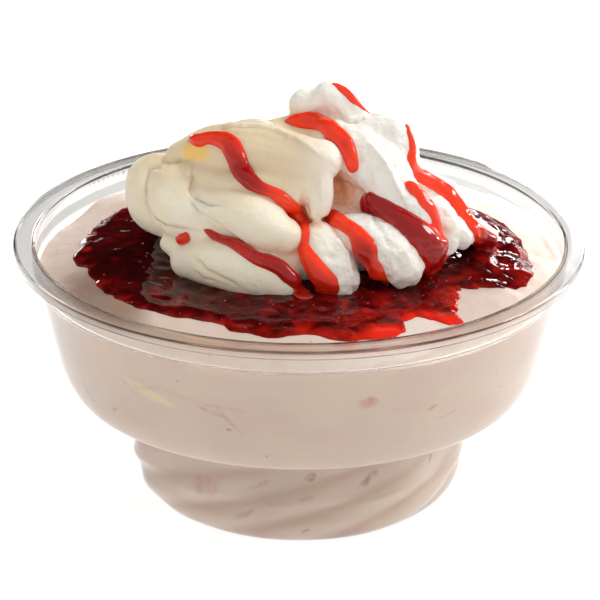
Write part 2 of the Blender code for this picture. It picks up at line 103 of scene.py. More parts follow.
# Compote
COMPOTE_OUTLINE = [(-175, 45.9), (-170.5, 43.8), (-160, 43.5), (-153.5, 42.9), (-143.5, 42.6),
                   (-129.5, 41.4), (-116.5, 39.1), (-113, 39.0), (-108.5, 40.8), (-96.5, 42.5),
                   (-92.5, 41.2), (-87, 41.1), (-77, 44.4), (-71, 43.9), (-65.5, 44.7), (-61, 42.6),
                   (-57, 38.7), (-52, 37.7), (-50, 41.1), (-48.5, 45.0), (-45, 45.8), (-41, 41.6),
                   (-37, 40.2), (-34, 38.4), (-31, 38.3), (-28.5, 36.2), (-26.5, 36.8),
                   (-25, 35.6), (-23.6, 39.6), (-22.4, 39.2), (-20.8, 44.6), (-19.8, 44.2),
                   (-18.2, 47.6), (-14, 48.6), (-5.5, 48.9), (1, 48.6), (11, 47.6),
                   (21, 48.0), (35, 47.5), (52, 47.2), (80, 44.6), (104, 46.6), (128, 44.0),
                   (145, 45.0), (155, 46.0), (172, 46.3), (179.5, 46.6)]
COMPOTE_LOBES = [(18.6, -38.2), (15.5, -39.5), (26.5, -32.0), (30.5, -32.5), (23.5, -31.5)]
LOBE_LIGHT = 0.62
LOBE_SPREAD = 5.0  # square millimetres
RAGGED_EDGE = (0.6, 44.0, 2.8)  # depth, radius at which it is drawn, and size of its lumps
LUMP_REACH = 46.0
LUMP_SPREADS = (1.4, 3.6)
LUMP_HEIGHTS = (0.1, 0.3)
FRUIT_CELLS = 0.14  # for each millimetre
COMPOTE_SWELL = 0.2
FINE_RIDGE = 0.08
RIGHT_RIDGE = 0.2  # height of the ridges and contours towards the right
RIGHT_START = 24.0
CONTOUR_WAVES = 42  # in radians, from the middle to the edge
FALL_START = 38.0  # from there on the top falls away to the right
FALL_SLOPE = 0.2
FALL_MOST = 1.0
COMPOTE_THICKNESS = 2.05
COMPOTE_SINK = 0.2  # how far its edge reaches into the mousse
COMPOTE_UNDERSIDE = 0.5  # how far its underside lies below the mousse's top
COMPOTE_UNDER_RINGS = (0.97, 0.6, 0.2)
COMPOTE_RINGS = 100
COMPOTE_STEPS = 720
SEED_SHAPE = (1.0, 0.62, 0.45)  # its length, width and thickness, as shares of its length
SEED_TILT = 0.3
SEED_SIZES = (0.6, 1.1)  # the least and most, as shares of its length
COMPOTE_CALM = range(-14, 15)  # the steps over which the outline is evened out away from the edge

# Whipped cream: each scoop is a rope through (x, y, height above the rim, radius)
SCOOPS = {
    "core": [(-14, 4, 4, 10), (0, 4, 6, 13), (14, 4, 6, 12)],
    "left_outer_fold": [(-29, 1, 10.5, 6.8), (-28.5, -3, 8, 6.4), (-25.5, -7, 6.5, 4.6), (-20, -10, 5, 4)],
    "left_inner_fold": [(-26, -5, 12.5, 5), (-24.5, -7.5, 9.5, 6.4), (-21, -9, 7, 6.2), (-15, -11, 5.5, 5)],
    "front_tongue": [(-19, -9, 12, 4), (-15, -12, 10.5, 5), (-10.5, -14.5, 10, 5.4), (-6, -17, 8, 5.2),
                     (-3.5, -17.5, 7, 4)],
    "upper_ridge": [(-24, -1, 17.2, 3.5), (-17.5, -2, 19, 5.5), (-10.5, -4, 19, 6.4), (-2, -7, 19, 5.8),
                    (4.2, -8.5, 19.8, 4.3)],
    "saddle": [(-22, -4, 14, 4.5), (-16, -8, 13.5, 4.5), (-8, -10, 14, 5), (0, -10, 15, 4.5)],
    "ridge_crest": [(-13, 0, 22, 2.4), (-8.5, 0, 22.7, 2.6), (-5, -1, 21.2, 2.4)],
    "drip_tip": [(0.8, -10, 17, 3.4), (2.6, -12.5, 13.4, 2.3), (3.2, -13.5, 10.6, 1.7)],
    "drip_side": [(4, -11, 17, 2.6), (4.9, -12.5, 13.8, 1.9), (4.6, -13.5, 11.2, 1.5)],
    "lower_lobe": [(-22.5, -14, 0, 3.6), (-18, -17, 1, 4.8), (-12, -19, 0.5, 5.4), (-7, -20.5, -0.5, 5),
                   (-3.5, -21, -2, 4)],
    "left_curl": [(-26.5, -11, 2.5, 1.8), (-23.5, -12, 1.5, 2.6), (-20, -13, 2, 3)],
    "peak": [(5.8, 4, 28.8, 3.4), (9.2, 3, 27.2, 3.4), (11.6, 2, 24.4, 3.4)],
    "peak_bridge": [(2.8, 5, 26.9, 2.9), (4.6, 4.4, 27.8, 2.9)],
    "peak_side": [(0.9, 6, 26.3, 3.5), (2.5, 4, 23, 3.8), (5, 2, 22, 4)],
    "shoulder": [(9.5, 1, 22, 4.8), (14.5, 0, 22.4, 4.6), (18.6, -1, 22, 4.3), (19.9, -2, 18, 4.4)],
    "right_face": [(8, -1, 20, 6.2), (13.5, -4, 18.3, 6.4), (17.5, -6.5, 15, 5.6)],
    "front_ridge": [(17, -8, 15.5, 5), (21, -11, 12, 4.4), (23, -12.5, 8.5, 4), (23.5, -13, 4, 4)],
    "hollow_back": [(5, -4, 9, 5), (10, -4, 8.5, 5), (15, -6, 8.5, 5), (20, -9, 6, 4.5)],
    "lower_right": [(11, -14, 5.5, 5), (15, -16, 5.4, 5), (18.5, -17.5, 3.2, 5.4), (20.5, -18, 1, 4.6)],
    "lower_middle": [(4, -15.5, 4.5, 4.6), (6, -18.5, 2, 4.8), (8, -20.5, -1, 4.2)],
    "right_nub": [(27.5, -8, 9, 3), (29.5, -10, 6.5, 3), (29.5, -11, 3, 2.6)],
    "right_foot": [(31, -6, 4.5, 3), (33, -7, 3, 2.6)],
    "far_right_foot": [(33.5, 1, 1.5, 2.8), (36.5, 2.5, 0.3, 2.5), (39, 2.5, -0.8, 2.1)],
    "slope_bump": [(26.5, 3, 9.5, 3.2), (30, 3.5, 8.6, 2.8)],
    "right_slope": [(21.5, 0, 13.5, 4.6), (25, 0, 9.5, 4.4), (29, -1, 6.5, 3.8), (32, -2, 4.5, 3.4),
                    (34.5, -3, 2.5, 2.8)],
    "under_tongue": [(-22, -10, 4, 4), (-14, -13, 4, 5), (-5, -15, 2, 5), (4, -14, 1, 5)],
    "middle": [(-20, -2, 10, 6), (-8, -4, 10, 8), (3, -6, 5, 7), (14, -8, 3, 7), (22, -6, 3, 6)],
    "upper_middle": [(-16, 2, 14, 6), (-6, 3, 16, 7.5), (4, 4, 18, 7.5), (12, 3, 17, 7.5)],
    "right_middle": [(14, -2, 10, 8), (22, -4, 6, 6), (28, -4, 3, 5)],
    "back_ridge": [(-22, 9, 9, 6), (-10, 13, 12, 7), (4, 14, 13, 7.5), (16, 10, 11, 7)],
    "back_skirt": [(-26, 8, 2, 5), (-14, 16, 2, 7), (2, 20, 2, 7.5), (16, 17, 2, 6.5), (27, 8, 2, 5)],
}
# Creases and pits are drawn on the upright plane through the cup's axis, as (x, height above the
# rim), and carried on to the cream by sight lines from VIEWPOINT
VIEWPOINT = (0.0, -649.0, RIM_Z + 263.0)
# Each crease: (depth of its groove, rise of the cream on its left, width, line)
CREASES = [
    (0.5, 0.4, 0.5, [(-24.6, 15.9), (-26.4, 15.5), (-28.3, 14.4), (-29.6, 14.5), (-30.7, 14.4),
                     (-31.0, 13.9), (-31.6, 10.3), (-31.4, 7.0), (-30.6, 4.5), (-29.1, 2.9),
                     (-27.5, 1.9), (-25.1, 1.6), (-22.9, 1.3)]),
    (0.2, -0.6, 0.6, [(-22.5, 12.7), (-23.0, 10.4), (-22.3, 8.5), (-21.0, 7.3), (-19.4, 6.5),
                      (-17.8, 6.3)]),
    (0.3, 0.25, 0.35, [(-21.9, 6.9), (-20.5, 5.2), (-18.1, 3.6), (-15.9, 2.0), (-14.1, 0.3),
                       (-11.6, -1.3)]),
    (-0.5, 0.3, 1.2, [(-14.2, 23.5), (-9.4, 23.5), (-5.6, 22.7), (-2.1, 21.1), (0.6, 19.7), (2.8, 18.2)]),
    (-0.35, 0.1, 0.5, [(4.0, 11.4), (4.4, 8.2), (4.3, 4.9)]),
    (0.4, 0, 0.9, [(0.6, 10.0), (0.9, 7.8), (1.3, 5.4)]),
    (0.3, 0.2, 0.4, [(-20.5, -6.0), (-18.8, -8.0), (-16.4, -9.1), (-13.0, -10.9)]),
    (0.25, 0.15, 0.35, [(-21.3, -8.3), (-19.9, -9.8), (-17.6, -10.2)]),
    (0.25, 0.3, 0.5, [(6.9, 28.0), (8.0, 26.6), (9.6, 25.2), (11.6, 25.2), (12.8, 25.9), (14.0, 27.1)]),
    (0.5, 0.2, 0.5, [(4.2, 31.0), (4.6, 29.2), (5.2, 27.6)]),
    (0.4, -0.3, 0.7, [(15.2, 3.6), (16.5, 1.4), (17.7, -1.6)]),
    (-0.5, 0.2, 0.8, [(7.5, -1.5), (9.4, -4.0), (10.0, -7.5), (11.2, -10.5)]),
    (-0.4, 0.3, 0.8, [(14.6, 19.0), (17.3, 15.7), (18.8, 12.5), (20.4, 9.3)]),
]
# Each pit: (x, height above the rim, radius, depth)
PITS = [(6.5, -4.7, 1.1, 0.6), (17.5, -4.4, 1.0, 0.3), (20.4, -6.3, 1.2, 0.3),
        (19.4, 15.4, 0.7, 0.7), (-19.6, 11.4, 2.4, 0.9), (-27.0, 9.0, 2.6, 0.5),
        (16.6, 22.3, 1.8, 0.7), (9.5, -2.5, 0.8, 0.4)]
CREASE_SCALE = 1.3
CREAM_SOFT = ((0.22, 7.0, 1.0), (0.05, 2.2, 4.0))  # as (height, size, seed)
CREAM_ROUGH = ((0.34, 2.1, 2.0), (0.14, 1.0, 9.0))
CREAM_LOW_Z = 62.0  # below it the torn cream grows rougher
# A yellow glow of light through the cream, by the first run of sauce: painted light
LIGHT_GLOW_SPOT = (-21.3, 18.2)
LIGHT_GLOW_SIZE = (3.0, 2.1)
SPOT_BACK = 2.0  # limit of the drawn spots towards +Y
HOLLOW_SHADE_SPOTS = (  # drawn place, half size across and up, and strength of each deep hollow whose painted warm shade is deepened
    ((9.6, 8.5), (2.8, 3.2), 0.32), ((12.3, 17.6), (1.6, 3.2), 0.6), ((30.6, 1.6), (2.4, 1.8), 0.6),
    ((3.6, 2.0), (1.6, 1.5), 0.5), ((-0.4, -3.8), (1.7, 1.3), 0.5), ((0.3, 8.4), (0.6, 2.2), 0.5),
    ((-7.4, 17.2), (1.6, 1.3), 0.3), ((-26.9, 8.4), (2.2, 1.6), 0.3))
SCOOP_STEPS = 8  # between one point of a scoop and the next
SCOOP_CAP = (12, 24, 36, 48, 60, 72, 83)  # degrees at which its round ends have points
CREAM_VOXEL = 0.4
CREAM_FOOT_Z = RIM_Z - 3.4  # hidden in the compote
AIR_RAYS = 20
AIR_START = 0.3
AIR_REACH = 16.0

# Sauce: each run is (x, height above the rim, width, shade from 0 to 1), drawn like the creases
SAUCE_RUNS = {
    "left_run": [(-22.7, 21.2, 0.7, 0.5), (-21.6, 21.0, 2.5, 0.35), (-20.2, 20.8, 3.4, 0.3),
                 (-18.6, 21.3, 3.1, 0.35), (-16.1, 21.0, 3.9, 0.35), (-14.3, 19.8, 4.5, 0.45),
                 (-13.1, 17.2, 4.6, 0.6), (-12.2, 14.8, 4.3, 0.8), (-10.6, 12.5, 3.9, 0.9),
                 (-8.4, 10.6, 3.0, 0.75), (-6.1, 9.7, 2.5, 0.4), (-3.9, 8.3, 3.2, 0.1),
                 (-1.4, 6.1, 3.4, 0.15), (0.1, 3.3, 3.2, 0.35), (0.8, 0.4, 3.1, 0.1),
                 (0.9, -2.5, 3.1, 0), (1.8, -4.9, 4.4, 0.1), (3.5, -7.6, 5.4, 0.2),
                 (5.5, -10.5, 6.2, 0.45), (7.9, -13.1, 6.9, 0.8)],
    "shaded_run": [(-19.8, 1.2, 0.5, 0.6), (-18.6, 0.6, 1.5, 0.75), (-16.8, -0.7, 2.2, 0.8),
                   (-14.1, -1.7, 3.0, 0.75), (-11.4, -3.3, 3.2, 0.7), (-8.7, -5.1, 3.2, 0.75),
                   (-6.0, -6.0, 3.9, 0.85), (-3.8, -7.2, 4.2, 0.85), (-1.9, -9.2, 3.9, 0.8),
                   (0, -11.6, 3.7, 0.85), (1.9, -14.1, 3.7, 0.9)],
    "ridge_run": [(-3.4, 24.9, 0.7, 0.2), (-1.7, 25.1, 3.0, 0.2), (0.8, 25.0, 4.0, 0.3),
                  (3.3, 25.1, 4.0, 0.2), (5.6, 23.9, 4.3, 0.1), (7.4, 21.7, 4.6, 0.15),
                  (9.1, 19.5, 4.3, 0.35), (10.1, 17.4, 3.4, 0.15), (10.6, 15.4, 3.0, 0.1),
                  (10.2, 14.1, 2.0, 0.3)],
    "peak_run": [(6.1, 33.2, 0.5, 0), (7.5, 32.6, 1.5, 0), (9.1, 31.3, 2.2, 0), (10.4, 30.0, 2.0, 0),
                 (11.8, 28.7, 1.2, 0), (13.2, 27.5, 0.7, 0), (14.2, 26.7, 0.5, 0)],
    "right_run": [(21.3, 24.7, 1.0, 0.1), (22.0, 22.9, 1.4, 0.1), (22.6, 20.8, 1.6, 0.05),
                  (22.9, 19.0, 1.8, 0), (22.6, 17.3, 2.1, 0), (22.9, 15.3, 2.6, 0), (24.4, 13.7, 3.4, 0),
                  (26.5, 12.5, 3.7, 0), (28.8, 10.9, 4.5, 0.1), (30.7, 8.9, 4.5, 0), (32.2, 6.9, 4.3, 0),
                  (33.5, 4.9, 3.9, 0), (34.5, 3.2, 3.9, 0), (36.0, 1.2, 4.3, 0.5), (38.3, -1.0, 5.1, 1),
                  (41.3, -3.2, 5.6, 1)],
    "split_run": [(21.2, 11.6, 1.2, 0.1), (22.7, 11.1, 3.1, 0.05), (24.1, 9.7, 3.4, 0), (25.2, 7.9, 3.4, 0),
                  (26.7, 6.2, 3.7, 0), (27.5, 4.2, 3.4, 0), (27.8, 2.0, 3.7, 0.1), (28.3, -0.7, 3.9, 0.35),
                  (29.5, -3.3, 4.8, 0.7)],
    "thick_run": [(12.4, 8.3, 6.0, 0.7), (14.2, 7.4, 6.8, 1.0), (16.8, 5.9, 6.6, 1.05),
                  (19.3, 3.9, 6.6, 0.85), (21.8, 1.9, 6.8, 1.0), (24.1, -0.3, 7.6, 0.85),
                  (26.2, -2.9, 8.8, 0.85), (28.2, -5.6, 10.2, 0.5)],
    "middle_run": [(5.2, 3.3, 3.0, 0.5), (6.8, 3.8, 4.2, 0.4), (8.9, 2.8, 3.2, 0.1), (11.0, 1.3, 3.4, 0),
                   (12.6, -0.8, 4.7, 0.3), (13.5, -3.0, 5.4, 0.6), (14.6, -5.5, 4.9, 0.55),
                   (15.8, -7.7, 4.4, 0.4), (17.3, -9.9, 4.2, 0.5)],
    "small_run": [(-25.6, -0.6, 1.0, 0.4), (-24.6, -1.1, 2.5, 0.5), (-23.6, -0.6, 2.5, 0.5),
                  (-23.2, 0.7, 1.0, 0.5)],
}
SAUCE_SINK = 1.2
SAUCE_BRIDGE = 0.6  # how much the widest runs bridge over hollows
SAUCE_WOBBLE = 0.06  # share by which its width varies
SAUCE_WIDE = 2.5  # half width from which a run counts as wide
SAUCE_WIDE_RISE = 0.5  # how much higher a wide run stands, as a share
SAUCE_LOW = 0.3  # share of its height that a run keeps down in the compote
SAUCE_STEPS = 7
SAUCE_POINTS = 13
SAUCE_TIP = 0.25  # share of a run's width that its very end keeps
SAUCE_SMOOTHING = 16  # rounds over which a run's own normals are evened out
SAUCE_VOXEL = 0.26
SAUCE_ROUNDS = 5  # of smoothing after its remesh
SHADE_POINTS = 5  # nearest points of the runs that a vertex takes its shade from

# Camera, worked out from the rim's ellipse in the photograph's 600 x 600 frame
VIEW_PIXELS = 600
VIEW_DISTANCE = 700.0
VIEW_ELEVATION = math.radians(22.04)
VIEW_ROLL = math.radians(0.51)
VIEW_FOCAL_PIXELS = 3407.0
RIM_PIXEL = (299.0, 235.8)
SENSOR_WIDTH = 36.0
CLIP_RANGE = (0.01, 20.0)  # metres
WHITE = (1.0, 0.99, 0.98)
GLINTS_ONLY = ("diffuse", "transmission")
# Each lamp: (place in metres, width, height, colour, kinds of ray that don't see it)
LAMPS = {
    "key": ((0.55, 0.5, 1.15), 0.5, 0.5, WHITE, ("glossy", "transmission")),
    "spark": ((1.15, 0.15, 0.65), 0.07, 0.385, WHITE, GLINTS_ONLY),
    "gleam": ((1.0, 0.65, 0.4), 0.12, 0.288, WHITE, GLINTS_ONLY),
    "glint": ((0.23, 1.39, 0.51), 0.15, 0.15, WHITE, GLINTS_ONLY),
    "low": ((0.6, 1.4, 0.36), 0.4, 0.4, WHITE, ()),
    "side": ((-0.55, 1.3, 0.2), 0.18, 0.18, WHITE, ()),
    "fill": ((1.2, -0.35, 0.8), 0.8, 0.8, (1.0, 0.97, 0.92), ("glossy",)),
}
LAMP_AIM = (0.0, 0.0, 0.05)
SKY_WHITE = (1.0, 0.97, 0.91)
SKY_DARK_WAY = (0.0, 0.88, 0.475)  # towards the dark part of the sky
SKY_DARKNESS = 0.985
FLOOR_REACH = 4.0  # metres from its middle to each side


def srgb(red, green, blue):
    """A colour of screen levels from 0 to 255 as Blender's linear values."""
    shares = (red / 255, green / 255, blue / 255)
    return tuple(s / 12.92 if s <= 0.04045 else ((s + 0.055) / 1.055) ** 2.4 for s in shares)


# ---------------------------------------------------------------------------------------------
# Node trees written as Python expressions


def arithmetic(operation, flipped=False):
    """One of Python's operators as a Math node, which takes the other value first when flipped."""
    def operator(self, other):
        values = (other, self) if flipped else (self, other)
        return self.tree.add("ShaderNodeMath", {"operation": operation}, dict(enumerate(values)))
    return operator


class Socket:
    """An output of a node, with Python's arithmetic for numbers."""

    def __init__(self, tree, socket):
        self.tree = tree
        self.socket = socket

    __add__ = __radd__ = arithmetic("ADD")
    __mul__ = __rmul__ = arithmetic("MULTIPLY")
    __sub__, __rsub__ = arithmetic("SUBTRACT"), arithmetic("SUBTRACT", flipped=True)
    __truediv__, __rtruediv__ = arithmetic("DIVIDE"), arithmetic("DIVIDE", flipped=True)
    __pow__, __rpow__ = arithmetic("POWER"), arithmetic("POWER", flipped=True)
    __gt__, __lt__ = arithmetic("GREATER_THAN"), arithmetic("LESS_THAN")

    def math(self, operation, *others):
        """Any other Math node, such as COSINE or MINIMUM."""
        return self.tree.add("ShaderNodeMath", {"operation": operation}, dict(enumerate((self, *others))))

    def ramp(self, low, high):
        """0 below low and 1 above high, with a smooth step between them."""
        return self.tree.add("ShaderNodeMapRange", {"interpolation_type": "SMOOTHSTEP"},
                             {"Value": self, "From Min": low, "From Max": high})

    def within(self, start, full, fade, end):
        """1 from full to fade, with a smooth step on each side down to 0."""
        return self.ramp(start, full) * (1 - self.ramp(fade, end))


class Tree:
    """A node tree, for a material or for geometry."""

    def __init__(self, tree):
        self.tree = tree

    def add(self, kind, settings=None, inputs=None, output=0):
        """A new node's output: its settings are made first, then its sockets' values or links."""
        node = self.tree.nodes.new(kind)
        for name, value in (settings or {}).items():
            setattr(node, name, value)
        for name, value in (inputs or {}).items():
            if isinstance(value, Socket):
                self.tree.links.new(value.socket, node.inputs[name])
            else:
                node.inputs[name].default_value = value
        return Socket(self, node.outputs[output]) if node.outputs else node

    def mix(self, factor, first, second):
        """A colour between two, which are sockets or (red, green, blue)."""
        first, second = (c if isinstance(c, Socket) else (*c, 1.0) for c in (first, second))
        return self.add("ShaderNodeMix", {"data_type": "RGBA"}, {0: factor, 6: first, 7: second}, 2)

    def layered(self, colour, *layers):
        """A colour with others over it, each given as (how much of it shows, colour)."""
        for share, over in layers:
            colour = self.mix(share, colour, over)
        return colour

    def attribute(self, name):
        return self.add("ShaderNodeAttribute", {"attribute_name": name}, output="Fac")

    def place(self):
        """The point on the piece, in millimetres."""
        point = self.add("ShaderNodeTexCoord", output="Object")
        return self.add("ShaderNodeVectorMath", {"operation": "SCALE"}, {0: point, "Scale": 1 / MM})

    def stretched(self, point, scale, turn=(0, 0, 0)):
        return self.add("ShaderNodeMapping", inputs={"Vector": point, "Scale": scale, "Rotation": turn})

    def grain(self, point, size, detail=2.0, distortion=0.0):
        """Noise from 0 to 1 with lumps of about that size in millimetres."""
        return self.add("ShaderNodeTexNoise", inputs={
            "Vector": point, "Scale": 1 / size, "Detail": detail, "Distortion": distortion})

    def cells(self, point, scale):
        """Scattered cells: the distance from the middle of the nearest, and its random colour."""
        return [self.add("ShaderNodeTexVoronoi", inputs={"Vector": point, "Scale": scale}, output=name)
                for name in ("Distance", "Color")]

    def axes(self, vector):
        return [self.add("ShaderNodeSeparateXYZ", inputs={0: vector}, output=i) for i in range(3)]

    def bump(self, height, depth, under=None):
        inputs = {"Height": height, "Distance": depth * MM}
        if under:
            inputs["Normal"] = under
        return self.add("ShaderNodeBump", inputs=inputs)


class Finish(Tree):
    """A material with one Principled shader."""

    def __init__(self, name):
        self.material = bpy.data.materials.new(name)
        self.material.use_nodes = True
        super().__init__(self.material.node_tree)
        self.shader = self.tree.nodes["Principled BSDF"]

    def set(self, **values):
        """Sets the shader's sockets, whose names are given with _ for a space."""
        for name, value in values.items():
            socket = self.shader.inputs[name.replace("_", " ")]
            if isinstance(value, Socket):
                self.tree.links.new(value.socket, socket)
            elif socket.type == "RGBA":
                socket.default_value = (*value, 1.0)
            else:
                socket.default_value = value


class Geometry(Tree):
    """A geometry node tree whose inputs have names, and which ends in one piece of real mesh."""

    def __init__(self, name, inputs):
        self.group = bpy.data.node_groups.new(name, "GeometryNodeTree")
        self.group.is_modifier = True
        super().__init__(self.group)
        self.group.interface.new_socket("Geometry", in_out="OUTPUT", socket_type="NodeSocketGeometry")
        for label, kind in {"Geometry": "Geometry", **inputs, "Material": "Material"}.items():
            self.group.interface.new_socket(label, in_out="INPUT", socket_type="NodeSocket" + kind)
        self.source = self.group.nodes.new("NodeGroupInput")

    def given(self, name):
        return Socket(self, self.source.outputs[name])

    def end(self, geometry):
        real = self.add("GeometryNodeRealizeInstances", inputs={"Geometry": geometry})
        coated = self.add("GeometryNodeSetMaterial",
                          inputs={"Geometry": real, "Material": self.given("Material")})
        self.add("NodeGroupOutput", inputs={"Geometry": coated})

    def run(self, mesh, **values):
        """The plain mesh that this tree makes of a mesh. Values are given with _ for a space."""
        carrier = new_object("carrier", mesh)
        modifier = carrier.modifiers.new("Nodes", "NODES")
        modifier.node_group = self.group
        for item in self.group.interface.items_tree:
            key = item.name.replace(" ", "_").lower()
            if item.in_out == "INPUT" and key in values:
                modifier[item.identifier] = values[key]
        return made_real(carrier)


# ---------------------------------------------------------------------------------------------
# Sizes and colours that a user can change


def colour_choice(name, description, default):
    return FloatVectorProperty(
        name=name, description=description, subtype="COLOR", default=default, min=0, max=1)


def length_choice(name, description, millimetres):
    return FloatProperty(
        name=name, description=description, default=millimetres * MM, unit="LENGTH", precision=5)


def power_choice(name, description, watts):
    return FloatProperty(name=name, description=description, default=watts, unit="POWER", min=0)


# ---------------------------------------------------------------------------------------------
# Meshes


def new_object(name, mesh):
    result = bpy.data.objects.new(name, mesh)
    bpy.context.scene.collection.objects.link(result)
    return result


def made_real(source):
    """The plain mesh that an object makes with its modifiers. The object itself goes."""
    graph = bpy.context.evaluated_depsgraph_get()
    mesh = bpy.data.meshes.new_from_object(source.evaluated_get(graph))
    bpy.data.objects.remove(source)
    return mesh


def new_piece(name, mesh, finish, slot, *nodes):
    """A finished piece that rides on the cup's one body and stands for those solids."""
    mesh.name = name
    if not mesh.materials:
        mesh.materials.append(finish)
    mesh.shade_smooth()
    piece = new_object(name, mesh)
    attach(piece, "root")
    if nodes:
        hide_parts(*nodes)
    return piece


def mesh_from(form):
    mesh = bpy.data.meshes.new("mesh")
    form.to_mesh(mesh)
    form.free()
    return mesh


def face_outwards(mesh):
    form = bmesh.new()
    form.from_mesh(mesh)
    bmesh.ops.recalc_face_normals(form, faces=form.faces)
    form.to_mesh(mesh)
    form.free()


def skin_rings(form, rings):
    """Faces from each ring of vertices to the next."""
    for inner, outer in zip(rings, rings[1:]):
        for i in range(len(inner)):
            j = (i + 1) % len(inner)
            form.faces.new((inner[i], outer[i], outer[j], inner[j]))


def set_attribute(mesh, name, values):
    layer = mesh.attributes.new(name, "FLOAT", "POINT")
    layer.data.foreach_set("value", np.asarray(values, np.float32))


def surface_of(*meshes):
    form = bmesh.new()
    for mesh in meshes:
        form.from_mesh(mesh)
    tree = BVHTree.FromBMesh(form)
    form.free()
    return tree


def catmull_rom(knots, steps):
    """Points on a smooth curve through the knots, each a tuple of any length."""
    ends = [knots[0], *knots, knots[-1]]
    points = []
    for before, start, stop, after in zip(ends, ends[1:], ends[2:], ends[3:]):
        for step in range(steps):
            t = step / steps
            points.append(tuple(
                0.5 * (2 * b + (c - a) * t + (2 * a - 5 * b + 4 * c - d) * t ** 2
                       + (3 * b - a - 3 * c + d) * t ** 3)
                for a, b, c, d in zip(before, start, stop, after)))
    points.append(tuple(knots[-1]))
    return points


def smooth_step(value):
    value = min(max(value, 0.0), 1.0)
    return value * value * (3 - 2 * value)


def remeshed(mesh, voxel, smoothing):
    """One closed skin round everything in the mesh."""
    lump = new_object("lump", mesh)
    skin = lump.modifiers.new("Skin", "REMESH")
    skin.mode = "VOXEL"
    skin.voxel_size = voxel * MM
    smooth = lump.modifiers.new("Smooth", "SMOOTH")
    smooth.factor = 0.5
    smooth.iterations = smoothing
    return made_real(lump)


def hollow_noise(point, size, seed=0.0):
    """Noise from about -1 to 1 at a point in millimetres, with lumps of about that size."""
    return noise.noise(Vector(point) / size + Vector((seed, 1.7 * seed, -seed)))


def layered_noise(point, layers):
    """Noises over each other, each given as (height, size, seed)."""
    return sum(height * hollow_noise(point, size, seed) for height, size, seed in layers)


# ---------------------------------------------------------------------------------------------
# Cup


def rounded(corners, steps=4):
    """A path through (radius, height, fillet) corners, each rounded by its fillet."""
    points = [Vector(corners[0][:2])]
    for before, corner, after in zip(corners, corners[1:], corners[2:]):
        here = Vector(corner[:2])
        if not corner[2]:
            points.append(here)
            continue
        sides = [Vector(other[:2]) - here for other in (before, after)]
        start, stop = (here + side.normalized() * min(corner[2], side.length * 0.49) for side in sides)
        for step in range(steps + 1):
            t = step / steps
            points.append(start * (1 - t) ** 2 + here * 2 * t * (1 - t) + stop * t ** 2)
    points.append(Vector(corners[-1][:2]))
    return points


def arc(center, radius, start, stop, steps):
    """Points (radius, height) on an arc between two angles in degrees."""
    angles = [math.radians(start + (stop - start) * step / steps) for step in range(steps + 1)]
    return [(center[0] + radius * math.cos(a), center[1] + radius * math.sin(a)) for a in angles]


def inner_wall():
    """The inside of the bowl and foot, from under the ledge to the axis."""
    bowl = [(radius, height, 0) for radius, height in catmull_rom(BOWL_WALL, 4)]
    side = [(radius, height, 1.0) for radius, height in FOOT_WALL]
    corner = [(r, z, 0) for r, z in arc((RING_RADIUS, WALL + FOOT_CORNER), FOOT_CORNER, 0, -90, 12)]
    punt = [(PUNT_RADIUS + 2, WALL, 0.8), (PUNT_RADIUS, WALL + PUNT_DEPTH, 0.8),
            (0.0, WALL + PUNT_DEPTH, 0)]
    return rounded(bowl + side + corner + punt)


def set_out(path, distance):
    """The path moved to its left by a distance."""
    moved = []
    for i, point in enumerate(path):
        along = (path[min(i + 1, len(path) - 1)] - path[max(i - 1, 0)]).normalized()
        moved.append(point + Vector((-along.y, along.x)) * distance)
    moved[-1].x = 0.0
    return moved


def cup_profile():
    """The whole wall's section, up its outside from the axis and back down its inside."""
    inside = inner_wall()
    outside = set_out(inside, WALL)[::-1]
    low = RIM_Z - SKIRT_DEPTH
    flange = [(BAND_RADIUS + WALL, LEDGE_Z - 0.3, 0.5), (BAND_RADIUS + WALL, RIM_Z - WALL, 0.35),
              (FLANGE_RADIUS - WALL, RIM_Z - WALL, 0.35), (FLANGE_RADIUS - WALL, low, 0.25),
              (FLANGE_RADIUS, low, 0.25), (FLANGE_RADIUS, RIM_Z, 0.5),
              (BAND_RADIUS, RIM_Z, 0.5), (BAND_RADIUS, LEDGE_Z, 0.5)]
    corners = [(*p, 0) for p in outside] + flange + [(*p, 0) for p in inside]
    return rounded(corners)


def profile_mesh(points):
    """A chain of edges through (radius, height) points, in the XZ plane."""
    mesh = bpy.data.meshes.new("profile")
    places = [(x * MM, 0.0, z * MM) for x, z in points]
    mesh.from_pydata(places, [(i, i + 1) for i in range(len(places) - 1)], [])
    return mesh


